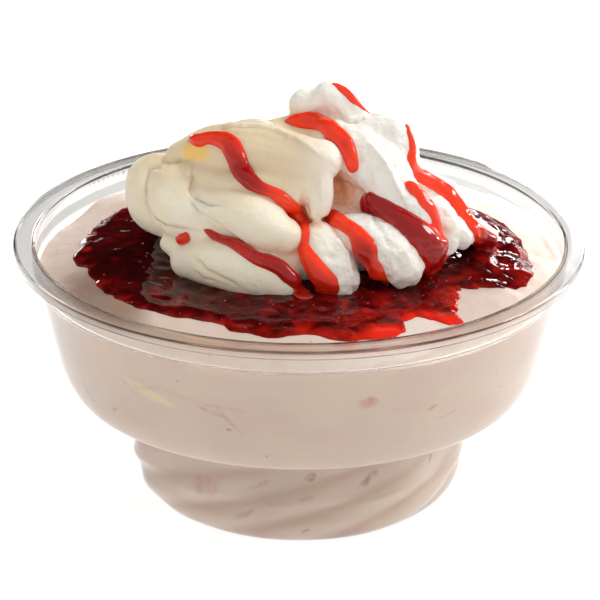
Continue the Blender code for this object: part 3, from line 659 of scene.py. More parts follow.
def turned_form():
    """Nodes that turn a profile about the Z axis and press swirled flutes into the foot."""
    tree = Geometry("Turned form", {"Steps": "Int", "Flutes": "Int", "Flute depth": "Float",
                                    "Flute turn": "Float", "Foot height": "Float",
                                    "Foot radius": "Float"})
    profile = tree.given("Geometry")
    count = tree.add("GeometryNodeAttributeDomainSize", inputs={"Geometry": profile})
    ring = tree.given("Steps") + 1
    grid = tree.add("GeometryNodeMeshGrid", inputs={"Vertices X": count, "Vertices Y": ring})
    index = tree.add("GeometryNodeInputIndex")
    along = ((index + 0.5) / ring).math("FLOOR")
    angle = (index - along * ring) / tree.given("Steps") * math.tau
    spot = tree.add("GeometryNodeSampleIndex", {"data_type": "FLOAT_VECTOR"}, {
        "Geometry": profile, "Value": tree.add("GeometryNodeInputPosition"), "Index": along + 0.5})
    radius, _, height = tree.axes(spot)
    rise = (height / tree.given("Foot height")).math("MINIMUM", 1.0).math("MAXIMUM", 0.0)
    swirl = tree.given("Flutes") * (angle - tree.given("Flute turn") * rise)
    wave = 0.5 - 0.5 * swirl.math("COSINE")
    outer = radius > tree.given("Foot radius")
    pressed = radius - tree.given("Flute depth") * wave * (rise * math.pi).math("SINE") * outer
    place = tree.add("ShaderNodeCombineXYZ", inputs={
        "X": pressed * angle.math("COSINE"), "Y": pressed * angle.math("SINE"), "Z": height})
    turned = tree.add("GeometryNodeSetPosition", inputs={"Geometry": grid, "Position": place})
    tree.end(tree.add("GeometryNodeMergeByDistance", inputs={"Geometry": turned, "Distance": 1e-6}))
    return tree


def turned_mesh(points, settings, finish):
    mesh = turned_form().run(
        profile_mesh(points), steps=TURN_STEPS, flutes=settings.flutes, flute_depth=settings.flute_depth,
        flute_turn=FLUTE_TURN, foot_height=FOOT_WALL[0][1] * MM, foot_radius=RING_RADIUS * MM,
        material=finish)
    face_outwards(mesh)
    return mesh


def arc_of_ribs():
    """Nodes that repeat a rib along an arc about the Z axis."""
    tree = Geometry("Arc of ribs", {"Count": "Int", "Radius": "Float", "Height": "Float",
                                    "Start": "Float", "Step": "Float"})
    line = tree.add("GeometryNodeMeshLine", inputs={"Count": tree.given("Count")})
    angle = tree.given("Start") + tree.given("Step") * tree.add("GeometryNodeInputIndex")
    radius = tree.given("Radius")
    place = tree.add("ShaderNodeCombineXYZ", inputs={
        "X": radius * angle.math("COSINE"), "Y": radius * angle.math("SINE"), "Z": tree.given("Height")})
    points = tree.add("GeometryNodeSetPosition", inputs={"Geometry": line, "Position": place})
    turn = tree.add("ShaderNodeCombineXYZ", inputs={"Z": angle})
    tree.end(tree.add("GeometryNodeInstanceOnPoints", inputs={
        "Points": points, "Instance": tree.given("Geometry"), "Rotation": turn}))
    return tree


def rib_mesh(settings, finish):
    """Rounded upright ribs on the outside of the lid band, in a group behind on the left."""
    form = bmesh.new()
    bmesh.ops.create_uvsphere(form, u_segments=16, v_segments=12, radius=1.0)
    stretch = Vector((settings.rib_depth * 2, RIB_WIDTH * MM / 2, RIB_HEIGHT * MM / 2))
    bmesh.ops.scale(form, vec=stretch, verts=form.verts)
    return arc_of_ribs().run(
        mesh_from(form), count=settings.ribs, radius=(BAND_RADIUS + WALL - 0.1) * MM, height=RIB_Z * MM,
        start=math.radians(RIB_START), step=math.radians(RIB_PITCH), material=finish)


def clear_plastic(name, settings, frost=0.0):
    finish = Finish(name)
    point = finish.place()
    across, depth, height = finish.axes(point)
    smears = finish.grain(point, 9.0, detail=3.0)
    wavy = height + 0.9 * (smears - 0.5)
    stripe = wavy.within(*BAND_SHADE_STRIPE)
    streaks = finish.grain(finish.stretched(point, (0.1, 0.1, 2.4)), 2.4).ramp(0.54, 0.58)
    # Painted shade: grey streaks and a stripe in the lid band, fainter on the right
    painted_band_streaks = (stripe * (1 - 0.6 * across.ramp(-25.0, 5.0)) + 0.45 * streaks).math("MINIMUM", 1.0)
    band = height.ramp(LEDGE_Z, LEDGE_Z + 1.0)
    rim = height.ramp(RIM_Z - 1.6, RIM_Z - 0.9)
    band_painted_shade = finish.mix(painted_band_streaks, settings.tint, settings.band_painted_shade)
    # Painted shade on the rim's sides and back, and a painted reflection of the mousse and compote on its
    # front
    rim_and_band_shade = finish.mix(rim, band_painted_shade, settings.rim_painted_shade)
    front = finish.mix(rim, settings.tint, settings.front_painted_reflection)
    colour = finish.mix(band * depth.ramp(-42.0, -20.0), front, rim_and_band_shade)
    finish.set(Base_Color=colour, IOR=1.5, Transmission_Weight=1.0,
               Roughness=0.03 + frost + 0.05 * band + 0.06 * smears.ramp(0.45, 0.75),
               Normal=finish.bump(finish.grain(point, 7.0), 0.04))
    return finish.material


class CupSettings(bpy.types.PropertyGroup):
    tint: colour_choice("Tint", "Colour of light that has passed through the wall", (0.95, 0.955, 0.945))
    # Painted shade: the grey of the streaks in the lid band
    band_painted_shade: colour_choice("Band's tint", "The same for the streaks in the lid band", (0.58, 0.58, 0.57))
    # Painted shade on the rim's sides and back, and a painted reflection of the dessert on its front
    rim_painted_shade: colour_choice("Rim's tint", "The same for the rolled rim, but for its front",
                            (0.71, 0.70, 0.68))
    front_painted_reflection: colour_choice("Front's tint", "The same for the front of the rolled rim",
                              (0.88, 0.78, 0.72))
    flutes: IntProperty(name="Flutes", description="Swirled flutes round the foot", default=10, min=0)
    flute_depth: length_choice("Flute depth", "How far a flute is pressed in", 1.0)
    ribs: IntProperty(name="Ribs", description="Upright ribs in a group under the rim", default=12, min=3)
    rib_depth: length_choice("Rib depth", "How far a rib stands out", 0.12)
    frost: FloatProperty(name="Frost", description="How much rougher the ribs are", default=0.25)


class DESSERT_OT_cup(bpy.types.Operator):
    """Build the clear cup with its flange, lid band, ribs and swirled foot"""

    bl_idname = "dessert.cup"
    bl_label = "Cup"

    def execute(self, context):
        settings = context.scene.dessert_cup
        plastic = clear_plastic("clear_plastic", settings)
        frosted = clear_plastic("frosted_plastic", settings, settings.frost)
        cup = new_piece("cup_wall", turned_mesh(cup_profile(), settings, plastic), plastic, "cup", "cup")
        ribs = new_piece("lid_ribs", rib_mesh(settings, frosted), frosted, "cup")
        for piece in (cup, ribs):
            piece.visible_shadow = False
        return {"FINISHED"}


# ---------------------------------------------------------------------------------------------
# Mousse


def mousse_height(x, y):
    """Height of the mousse's uneven top, as its solid has it."""
    radius = math.hypot(x, y)
    bearing = math.atan2(y, x)
    dome = MOUSSE_DOME * smooth_step((BAND_RADIUS - radius) / MOUSSE_SHOULDER)
    ripple = sum(size * math.sin(waves * bearing + phase) for waves, phase, size in MOUSSE_RIPPLES)
    mound_x, mound_y, mound_height, spread = MOUSSE_MOUND
    from_mound = math.hypot(x - mound_x, y - mound_y) / spread
    mound = mound_height * math.exp(-from_mound ** 2 / 2)
    return MOUSSE_EDGE_Z + dome + ripple * radius / BAND_RADIUS + mound


def mousse_top(x, y):
    """The solid's top with the smears and soft ripples of spooned mousse."""
    radius = math.hypot(x, y)
    bearing = math.atan2(y, x)
    streak = 0.22 * hollow_noise((radius * 0.75, bearing * 14, 0), 1.6, 5.0)
    return mousse_height(x, y) + layered_noise((x, y, 0), MOUSSE_SWELLS) + streak


def build_mousse_mesh(settings, finish):
    side = set_out(inner_wall(), MOUSSE_REACH)
    edge = side[0].x
    shares = [1 - (i / MOUSSE_TOP_RINGS) ** MOUSSE_RING_POWER for i in range(1, MOUSSE_TOP_RINGS + 1)]
    top = [Vector((edge * share, MOUSSE_EDGE_Z)) for share in shares]
    mesh = turned_mesh(side[::-1] + top, settings, finish)
    level = (BOWL_WALL[0][1] - 0.3) * MM
    for vertex in mesh.vertices:
        if vertex.co.z > level:
            vertex.co.z = mousse_top(vertex.co.x / MM, vertex.co.y / MM) * MM
    return mesh


MARK_SOFTNESS = 0.7
LINE_WIDTH = 0.9  # from the middle of a crease to where it has faded out
FLECK_CELLS = 0.30  # for each millimetre
# Marks that show through the wall: (degrees round from +X, height, half length, half height, slant),
# with the slant as a rise for each millimetre to the right
SMEAR = (-124.2, 39.0, 5.0, 1.3, -0.28)
PINK_MARKS = [
    (-130.8, 39.2, 1.7, 0.55, -0.75), (-109.5, 38.0, 2.6, 0.6, -0.35), (-105.5, 36.6, 2.4, 0.6, -1.1),
    (-74.9, 41.1, 1.8, 1.5, 0.0), (-74.7, 41.3, 1.5, 1.0, 0.0), (-74.7, 41.6, 1.5, 0.6, 0.0),
    (-54.3, 34.6, 2.6, 0.35, 0.2), (-122.5, 12.8, 4.5, 2.2, 0.1), (-108, 7.9, 3.5, 0.7, 0.4),
    (-102.5, 15.2, 3.0, 0.8, 0.3), (-86.9, 12.4, 2.2, 0.5, 0.2), (-60.5, 11.9, 1.8, 0.4, 0.1),
    (-66.8, 4.0, 1.4, 0.9, 0.3)]
DARK_MARKS = [
    (-147.0, 32.0, 2.2, 0.3, -0.9), (-137.4, 31.5, 1.1, 0.5, 0.6), (-85.6, 17.4, 1.8, 1.0, 0.2),
    (-85.3, 17.2, 1.2, 0.7, 0.2), (-65.3, 15.4, 2.6, 1.3, 0.4), (-64.8, 15.8, 1.4, 0.8, 0.4),
    (-59.0, 37.3, 0.9, 0.4, 0.4), (-87.2, 4.7, 1.2, 0.4, 0.2), (-97.1, 28.6, 0.35, 0.35, 0.0),
    (-105.5, 34.4, 0.6, 0.4, 0.0), (-38.2, 15.5, 0.8, 0.8, 0.8)]
# The shade on the open top beside the compote, on the left
TOP_SHADE_TURN = math.radians(-119)  # brings its middle on to +Y
TOP_SHADE_RADIUS = 45.0
TOP_SHADE_LENGTH = 16.0
TOP_SHADE_WIDTH = 6.0
TOP_LIGHT_SPAN = (-8.0, 22.0, 24.0, 38.0)  # of x, over the part of the open top that is painted paler, as painted light
# Creases in the mousse behind the wall, as (bearing, height) from end to end
CREASE_LINES = [((-129.4, 39.2), (-121.0, 41.2)), ((-121.0, 41.2), (-111.8, 39.6)),
                ((-111.8, 39.6), (-101.0, 39.0))]


def wall_places(finish, point):
    """Millimetres round the wall from the front to the right, and up, both made a little wavy."""
    x, y, z = finish.axes(point)
    round_wall = x.math("ARCTAN2", -1.0 * y) * WALL_RADIUS
    wave = finish.grain(point, 3.0) - 0.5
    return round_wall + 1.6 * wave, z + 1.2 * (finish.grain(point, 2.4) - 0.5)


def round_wall_of(bearing):
    return math.radians(bearing + 90) * WALL_RADIUS


def mark_mask(places, mark):
    """1 within a mark on the mousse's side, fading to 0 round it."""
    bearing, height, half_length, half_height, slant = mark
    across = places[0] - round_wall_of(bearing)
    up = places[1] - height - across * slant
    far = (across / half_length) ** 2.0 + (up / half_height) ** 2.0
    return 1 - far.ramp(1 - MARK_SOFTNESS, 1 + MARK_SOFTNESS)


def line_mask(places, start, stop):
    """1 on a straight line on the mousse's side, fading to 0 at its sides and ends."""
    left, right = round_wall_of(start[0]), round_wall_of(stop[0])
    share = (places[0] - left) / (right - left)
    off = (places[1] - start[1] - share * (stop[1] - start[1])).math("ABSOLUTE")
    return (1 - off.ramp(0.0, LINE_WIDTH)) * share.within(-0.05, 0.1, 0.9, 1.05)


def mousse_finish(settings, flutes):
    finish = Finish("berry_mousse")
    point = finish.place()
    x, y, z = finish.axes(point)
    places = wall_places(finish, point)
    cloudy = finish.grain(point, 14.0, detail=3.0, distortion=0.6)
    folds = finish.grain(finish.stretched(point, (0.6, 0.6, 1.6), (0.5, 0.2, 0.0)), 11.0)
    # Painted shade: the foot's flute valleys are given a darker, pinker colour
    rise = z / FOOT_WALL[0][1]
    swirl = flutes * (y.math("ARCTAN2", x) - FLUTE_TURN * rise)
    pressed = (0.5 - 0.5 * swirl.math("COSINE")) ** 2.0 * (1 - rise.ramp(0.85, 1.05))
    top = z.ramp(MOUSSE_EDGE_Z - 0.6, MOUSSE_EDGE_Z + 0.3)
    # Painted light: the open top is paler right of the middle
    top_light_share = z.ramp(MOUSSE_EDGE_Z, MOUSSE_EDGE_Z + 0.4) * x.within(*TOP_LIGHT_SPAN)
    turned = finish.stretched(point, (1.0, 1.0, 0.0), (0.0, 0.0, TOP_SHADE_TURN))
    along, away, _ = finish.axes(turned)
    away = away + 5.0 * (folds - 0.5)
    shade = (along / TOP_SHADE_LENGTH) ** 2.0 + ((away - TOP_SHADE_RADIUS) / TOP_SHADE_WIDTH) ** 2.0
    colour = finish.layered(
        settings.colour, (cloudy.ramp(0.3, 0.7), settings.pale),
        (folds.ramp(0.5, 0.72) * 0.5, settings.pink), (pressed * 0.5, settings.swirl),
        (top * 0.9, settings.top), (top_light_share * 0.6, settings.top_light),
        ((1 - shade.ramp(0.2, 1.5)) * top * 0.9, settings.shade),
        (mark_mask(places, SMEAR) * 0.8, settings.smear))
    wobbly = finish.grain(point, 1.8).ramp(0.25, 0.65) * 0.45
    for marks, tint in ((PINK_MARKS, settings.berry), (DARK_MARKS, settings.fleck_and_shade)):
        colour = finish.layered(colour, *((mark_mask(places, mark) * wobbly, tint) for mark in marks))
    creases = ((line_mask(places, start, stop) * 0.18, settings.berry) for start, stop in CREASE_LINES)
    patchy = finish.grain(point, 6.0).ramp(0.4, 0.6)
    near, kind = finish.cells(point, FLECK_CELLS)
    shown, deep, _ = finish.axes(kind)
    flecks = (1 - near.ramp(0.04, 0.09)) * (shown > 0.6)
    # The foot's bottom is darkened in patches with the flecks' colour as painted shade, then the flecks are
    # strewn
    colour = finish.layered(
        colour, *creases, ((1 - z.ramp(1.0, 5.0)) * (0.1 + 0.25 * patchy), settings.fleck_and_shade),
        (flecks * (0.25 + 0.5 * deep), settings.fleck_and_shade))
    fine = finish.grain(point, 0.9, detail=4.0)
    finish.set(Base_Color=colour, Roughness=0.42 + 0.15 * fine, Specular_IOR_Level=0.1,
               Subsurface_Weight=0.35, Subsurface_Radius=(1.0, 0.55, 0.4), Subsurface_Scale=3.0 * MM,
               Normal=finish.bump(fine, 0.12, under=finish.bump(finish.grain(point, 4.0), 0.25)))
    return finish.material


class MousseSettings(bpy.types.PropertyGroup):
    colour: colour_choice("Colour", "Most of the mousse", srgb(226, 206, 193))
    pale: colour_choice("Pale colour", "Where cream shows in it", srgb(229, 211, 195))
    pink: colour_choice("Pink colour", "Folds with more berry", srgb(222, 197, 184))
    smear: colour_choice("Smear", "Yellow smear of cream on the left", srgb(238, 226, 186))
    top: colour_choice("Top colour", "Its open top, which no wall dims", srgb(208, 188, 177))
    # Painted light on the open top, right of the middle
    top_light: colour_choice("Milk colour", "The paler part of the top, right of the middle",
                        srgb(236, 226, 220))
    shade: colour_choice("Shade colour", "A greyer part of the top on the left", srgb(146, 120, 104))
    # Painted shade in the flutes' valleys
    swirl: colour_choice("Swirl colour", "In the foot's swirled flutes", srgb(206, 172, 150))
    berry: colour_choice("Berry marks", "Streaks and lumps of berry behind the wall", srgb(208, 150, 136))
    # Also the colour of the painted shade at the foot's bottom
    fleck_and_shade: colour_choice("Flecks", "Fine bits of skin and seed", srgb(150, 90, 78))


class DESSERT_OT_mousse(bpy.types.Operator):
    """Build the mousse that fills the cup and reaches just into its wall"""

    bl_idname = "dessert.mousse"
    bl_label = "Mousse"

    def execute(self, context):
        cup = context.scene.dessert_cup
        finish = mousse_finish(context.scene.dessert_mousse, cup.flutes)
        mesh = build_mousse_mesh(cup, finish)
        new_piece("mousse_filling", mesh, finish, "mousse", "mousse")
        return {"FINISHED"}


# ---------------------------------------------------------------------------------------------
# Compote


def compote_radius(bearing):
    """The compote's outline at a bearing in radians, eased between its listed points."""
    degrees = math.degrees(bearing) % 360
    outline = sorted((angle % 360, radius) for angle, radius in COMPOTE_OUTLINE)
    outline = [(outline[-1][0] - 360, outline[-1][1]), *outline, (outline[0][0] + 360, outline[0][1])]
    depth, reach, size = RAGGED_EDGE
    ragged = depth * hollow_noise((reach * math.cos(bearing), reach * math.sin(bearing), 0), size)
    for (low, first), (high, second) in zip(outline, outline[1:]):
        if low <= degrees <= high:
            return first + (second - first) * smooth_step((degrees - low) / (high - low)) + ragged
    raise ValueError(f"no outline at {degrees} degrees")


def compote_lumps(seed, count):
    """Places, spreads and heights of the fruit that lifts the compote's top."""
    draw = random.Random(seed)
    lumps = []
    for _ in range(count):
        radius = LUMP_REACH * math.sqrt(draw.random())
        bearing = draw.uniform(0, math.tau)
        lumps.append((radius * math.cos(bearing), radius * math.sin(bearing),
                      draw.uniform(*LUMP_SPREADS), draw.uniform(*LUMP_HEIGHTS)))
    return np.array(lumps)


def compote_relief(x, y, share, lumps):
    """Fruit, soft swells, and ridges that follow the edge and grow towards the right."""
    distance = (lumps[:, 0] - x) ** 2 + (lumps[:, 1] - y) ** 2
    fruit = float(np.max(lumps[:, 3] * np.exp(-distance / (lumps[:, 2] ** 2))))
    radius = math.hypot(x, y)
    bearing = math.atan2(y, x)
    ridged = (1 - abs(hollow_noise((radius, bearing * 12, 1.0), 2.6, 4.0))) ** 4
    right = smooth_step((x - RIGHT_START) / 12) * smooth_step((share - 0.55) / 0.2)
    wander = 1.6 * hollow_noise((x, y, 5.0), 8.0, 3.0)
    contour = math.sin(share * CONTOUR_WAVES + wander * 3)
    fall = FALL_SLOPE * max(x - FALL_START, 0.0) * smooth_step((share - 0.5) / 0.3)
    return (fruit + FINE_RIDGE * ridged + right * (RIGHT_RIDGE * contour + RIGHT_RIDGE * ridged)
            - min(fall, FALL_MOST) + COMPOTE_SWELL * hollow_noise((x, y, 0), 7.0, 2.0))


def compote_light(x, y, share):
    """How bright the compote is: at its thin edge on the right, in two lobes at the front, and a little
    more towards the right.
    """
    lobes = sum(LOBE_LIGHT * math.exp(-((x - a) ** 2 + (y - b) ** 2) / LOBE_SPREAD)
                for a, b in COMPOTE_LOBES)
    edge = 0.3 * smooth_step((share - 0.9) / 0.1) * (1 - 0.7 * smooth_step((x - 34) / 8))
    return min(lobes + edge + 0.22 * smooth_step((x + 25) / 40), 1.0)


def build_compote_mesh(settings):
    lumps = compote_lumps(settings.seed, settings.lumps)
    form = bmesh.new()
    bearings = [math.tau * step / COMPOTE_STEPS for step in range(COMPOTE_STEPS)]
    outline = [compote_radius(bearing) for bearing in bearings]
    calm = [sum(outline[(i + near) % COMPOTE_STEPS] for near in COMPOTE_CALM) / len(COMPOTE_CALM)
            for i in range(COMPOTE_STEPS)]
    lights = []

    def ring(share, lift_of):
        row = []
        ragged = smooth_step((share - 0.88) / 0.12)
        for bearing, edge, calm_edge in zip(bearings, outline, calm):
            radius = share * (calm_edge + (edge - calm_edge) * ragged)
            x = radius * math.cos(bearing)
            y = radius * math.sin(bearing)
            height = mousse_top(x, y) + lift_of(x, y, share)
            lights.append(compote_light(x, y, share))
            row.append(form.verts.new((x * MM, y * MM, height * MM)))
        return row

    def top_lift(x, y, share):
        blunt = 5.5 - 1.5 * smooth_step(x / 30) - 1.4 * smooth_step((x - 32) / 10)
        edge = math.sqrt(max(1 - share ** blunt, 0.0))
        return (COMPOTE_THICKNESS + compote_relief(x, y, share, lumps)) * edge - COMPOTE_SINK

    rings = [ring(math.sin(math.pi / 2 * i / COMPOTE_RINGS), top_lift) for i in range(2, COMPOTE_RINGS + 1)]
    rings += [ring(share, lambda x, y, share: -COMPOTE_UNDERSIDE) for share in COMPOTE_UNDER_RINGS]
    skin_rings(form, rings)
    for cap in (rings[0], rings[-1][::-1]):
        form.faces.new(cap)
    form.verts.index_update()
    bmesh.ops.recalc_face_normals(form, faces=form.faces)
    mesh = mesh_from(form)
    set_attribute(mesh, "light", lights)
    return mesh


def scattered_seeds():
    """Nodes that strew seeds over the upper side of a surface."""
    tree = Geometry("Scattered seeds", {"Density": "Float", "Length": "Float", "Seed": "Int"})
    up = tree.axes(tree.add("GeometryNodeInputNormal"))[2]
    points = tree.add("GeometryNodeDistributePointsOnFaces", inputs={
        "Mesh": tree.given("Geometry"), "Selection": up > 0.7, "Density": tree.given("Density"),
        "Seed": tree.given("Seed")})
    seed = tree.add("GeometryNodeMeshIcoSphere", inputs={"Radius": tree.given("Length") / 2,
                                                         "Subdivisions": 2})
    grain = tree.add("GeometryNodeTransform", inputs={"Geometry": seed, "Scale": SEED_SHAPE})
    turn = tree.add("FunctionNodeRandomValue", {"data_type": "FLOAT_VECTOR"},
                    {"Min": (-SEED_TILT, -SEED_TILT, 0.0), "Max": (SEED_TILT, SEED_TILT, math.tau),
                     "Seed": tree.given("Seed")})
    size = tree.add("FunctionNodeRandomValue", {"data_type": "FLOAT"},
                    {2: SEED_SIZES[0], 3: SEED_SIZES[1], "Seed": tree.given("Seed") + 1}, 1)
    tree.end(tree.add("GeometryNodeInstanceOnPoints", inputs={
        "Points": points, "Instance": grain, "Rotation": turn, "Scale": size}))
    return tree


def seed_finish(settings):
    finish = Finish("berry_seeds")
    colour = finish.mix(finish.grain(finish.place(), 2.0).ramp(0.35, 0.65), settings.seed_colour,
                        settings.fruit)
    finish.set(Base_Color=colour, Roughness=0.4)
    return finish.material


def compote_finish(settings):
    finish = Finish("berry_compote")
    point = finish.place()
    cloudy = finish.grain(point, 4.5, detail=3.0, distortion=0.8)
    near, kind = finish.cells(finish.stretched(point, (1.0, 1.0, 0.3)), FRUIT_CELLS)
    pulp = (1 - near.ramp(0.08, 0.2)) * finish.axes(kind)[0].ramp(0.4, 1.0)
    light = (finish.attribute("light") + 0.7 * cloudy - 0.38).ramp(0.05, 0.95)
    colour = finish.layered(settings.dark, (cloudy.ramp(0.45, 0.75) * 0.8, settings.mid),
                            (pulp * 0.8, settings.fruit), (light, settings.bright))
    wavy = finish.grain(finish.stretched(point, (1.0, 1.0, 0.2)), 4.6, detail=1.5, distortion=0.8)
    across = finish.axes(point)[0]
    broken = wavy * across.ramp(-16.0, 4.0) * (1 - 0.6 * across.ramp(20.0, 30.0))
    syrup = 1 - 0.75 * across.ramp(-25.0, -8.0)
    finish.set(Base_Color=colour, Roughness=0.04 + 0.05 * cloudy, IOR=1.33, Specular_IOR_Level=0.05,
               Coat_Weight=syrup, Coat_IOR=1.33,
               Normal=finish.bump(finish.grain(point, 2.5, detail=3.0), 0.08,
                                  under=finish.bump(broken, 0.8)))
    return finish.material


class CompoteSettings(bpy.types.PropertyGroup):
    dark: colour_choice("Dark colour", "Where the compote is thick", srgb(60, 4, 6))
    mid: colour_choice("Middle colour", "Lighter clouds in it", srgb(112, 10, 14))
    fruit: colour_choice("Fruit colour", "Berry pieces just under its top", srgb(158, 30, 32))
    bright: colour_choice("Bright colour", "Where it is thin", srgb(226, 44, 28))
    seed_colour: colour_choice("Seed colour", "Seeds that show at its top", srgb(168, 46, 28))
    seed_length: length_choice("Seed length", "Longest side of a seed", 0.75)
    seed_density: FloatProperty(
        name="Seed density", description="Seeds on a square metre of compote", default=30000.0, min=0)
    lumps: IntProperty(name="Lumps", description="Pieces of fruit that lift its top", default=70, min=1)
    seed: IntProperty(name="Seed", description="Draws the places of fruit and seeds", default=7)


class DESSERT_OT_compote(bpy.types.Operator):
    """Build the berry compote that lies on the mousse"""

    bl_idname = "dessert.compote"
    bl_label = "Compote"

    def execute(self, context):
        settings = context.scene.dessert_compote
        compote = build_compote_mesh(settings)
        finish = seed_finish(settings)
        seeds = scattered_seeds().run(compote, density=settings.seed_density,
                                      length=settings.seed_length, seed=settings.seed, material=finish)
        new_piece("berry_compote", compote, compote_finish(settings), "compote", "compote")
        new_piece("berry_seeds", seeds, finish, "compote")
        return {"FINISHED"}


# ---------------------------------------------------------------------------------------------
# Whipped cream


def rounded_scoop(knots):
    """Points along a scoop, with both ends rounded off."""
    points = catmull_rom(knots, SCOOP_STEPS)
    ends = []
    for end, inside in ((points[0], points[1]), (points[-1], points[-2])):
        outward = (Vector(end[:3]) - Vector(inside[:3])).normalized()
        cap = []
        for angle in map(math.radians, SCOOP_CAP):
            place = Vector(end[:3]) + outward * end[3] * math.sin(angle)
            cap.append((*place, end[3] * math.cos(angle)))
        ends.append(cap)
    return ends[0][::-1] + points + ends[1]


def scoop_mesh(scoops):
    """A rope for each scoop, as thick as the scoop at every point."""
    curve = bpy.data.curves.new("scoops", "CURVE")
    curve.dimensions = "3D"
    curve.bevel_depth = MM
    curve.bevel_resolution = 8
    curve.use_fill_caps = True
    for knots in scoops.values():
        points = rounded_scoop(knots)
        rope = curve.splines.new("POLY")
        rope.points.add(len(points) - 1)
        for target, (x, y, height, radius) in zip(rope.points, points):
            target.co = (x * MM, y * MM, (RIM_Z + height) * MM, 1.0)
            target.radius = radius
    form = bmesh.new()
    form.from_mesh(made_real(new_object("scoops", curve)))
    bmesh.ops.remove_doubles(form, verts=form.verts, dist=0.001 * MM)
    return mesh_from(form)


def cream_texture(point):
    """How far the cream stands proud of its smooth form: soft on the left, torn on the right."""
    x, y, z = point
    torn = smooth_step((x - 2) / 12)
    folded = 1 - abs(hollow_noise((x * 0.8 + z * 0.5, y, z * 0.6 - x * 0.3), 3.0, 6.0))
    rough = layered_noise(point, CREAM_ROUGH) * (0.6 + 0.7 * smooth_step((CREAM_LOW_Z - z) / 12))
    return layered_noise(point, CREAM_SOFT) + torn * (0.3 * (folded ** 3 - 0.5) + rough)


def crease_relief(drawn, groove, rise, width, line):
    """The crease's relief at places on the drawing plane, rising on the left of its line."""
    nearest = np.full(len(drawn), np.inf)
    side = np.zeros(len(drawn))
    for start, stop in zip(line, line[1:]):
        along = np.subtract(stop, start)
        offset = drawn - start
        share = np.clip(offset @ along / (along @ along), 0, 1)
        distance = np.linalg.norm(offset - share[:, None] * along, axis=1)
        turn = np.sign(along[0] * offset[:, 1] - along[1] * offset[:, 0])
        side = np.where(distance < nearest, turn, side)
        nearest = np.minimum(nearest, distance)
    return rise * side * np.exp(-nearest / (3 * width)) - groove * np.exp(-(nearest / width) ** 2)


def drawn_places(places):
    """Where the sight lines to those places cross the drawing plane."""
    sight = places - np.array(VIEWPOINT)
    crossing = VIEWPOINT + sight * (VIEWPOINT[1] / -sight[:, 1])[:, None]
    return sight, crossing[:, [0, 2]] - (0, RIM_Z)


def drawn_relief(places, normals):
    """Relief of all creases and pits on the parts that face the viewpoint."""
    sight, drawn = drawn_places(places)
    relief = CREASE_SCALE * sum(crease_relief(drawn, *crease) for crease in CREASES)
    for x, height, radius, depth in PITS:
        relief -= depth * np.exp(-np.sum(((drawn - (x, height)) / radius) ** 2, axis=1))
    facing = -np.sum(normals * sight, axis=1) / np.linalg.norm(sight, axis=1)
    return relief * np.clip(facing * 3, 0, 1)


def vectors_of(mesh, name):
    values = np.empty(len(mesh.vertices) * 3, np.float32)
    mesh.vertices.foreach_get(name, values)
    return values.reshape(-1, 3)


def build_cream_mesh(settings):
    mesh = remeshed(scoop_mesh(SCOOPS), CREAM_VOXEL, settings.smoothing)
    places = vectors_of(mesh, "co")
    normals = vectors_of(mesh, "normal")
    relief = np.array([cream_texture(place) for place in places / MM])
    relief += drawn_relief(places / MM, normals)
    mesh.vertices.foreach_set("co", (places + normals * (relief * settings.relief)[:, None]).ravel())
    form = bmesh.new()
    form.from_mesh(mesh)
    bmesh.ops.bisect_plane(form, geom=[*form.verts, *form.edges, *form.faces],
                           plane_co=(0, 0, CREAM_FOOT_Z * MM), plane_no=(0, 0, 1), clear_inner=True)
    bmesh.ops.holes_fill(form, edges=[edge for edge in form.edges if edge.is_boundary])
    bmesh.ops.triangulate(form, faces=[face for face in form.faces if len(face.verts) > 4])
    bmesh.ops.recalc_face_normals(form, faces=form.faces)
    mesh = mesh_from(form)
    places = vectors_of(mesh, "co") / MM
    air = open_air(mesh)
    # The spots deepen the painted shade where the cream's hollows lie
    for spot, size, strength in HOLLOW_SHADE_SPOTS:
        air *= 1 - strength * spot_share(places, spot, size, 1.5)
    set_attribute(mesh, "air", air)
    set_attribute(mesh, "butter", spot_share(places, LIGHT_GLOW_SPOT, LIGHT_GLOW_SIZE, 3.0))
    return mesh


def spot_share(places, spot, size, hardness):
    """How far each place lies in a drawn spot on the front of the cream, from 1 inside to 0."""
    off = (drawn_places(places)[1] - spot) / size
    return np.exp(-np.sum(off ** 2, axis=1) ** hardness) * (places[:, 1] < SPOT_BACK)


def open_air(mesh):
    """The share of the sky that each vertex sees past the rest of the mesh."""
    surface = surface_of(mesh)
    golden = math.pi * (3 - math.sqrt(5))
    rays = []
    for i in range(AIR_RAYS):
        height = (i + 0.5) / AIR_RAYS
        flat = math.sqrt(1 - height ** 2)
        rays.append(Vector((flat * math.cos(golden * i), flat * math.sin(golden * i), height)))
    shares = []
    for vertex in mesh.vertices:
        turn = vertex.normal.to_track_quat("Z", "Y")
        start = vertex.co + vertex.normal * AIR_START * MM
        clear = sum(surface.ray_cast(start, turn @ ray, AIR_REACH * MM)[0] is None for ray in rays)
        shares.append(clear / AIR_RAYS)
    return np.array(shares)


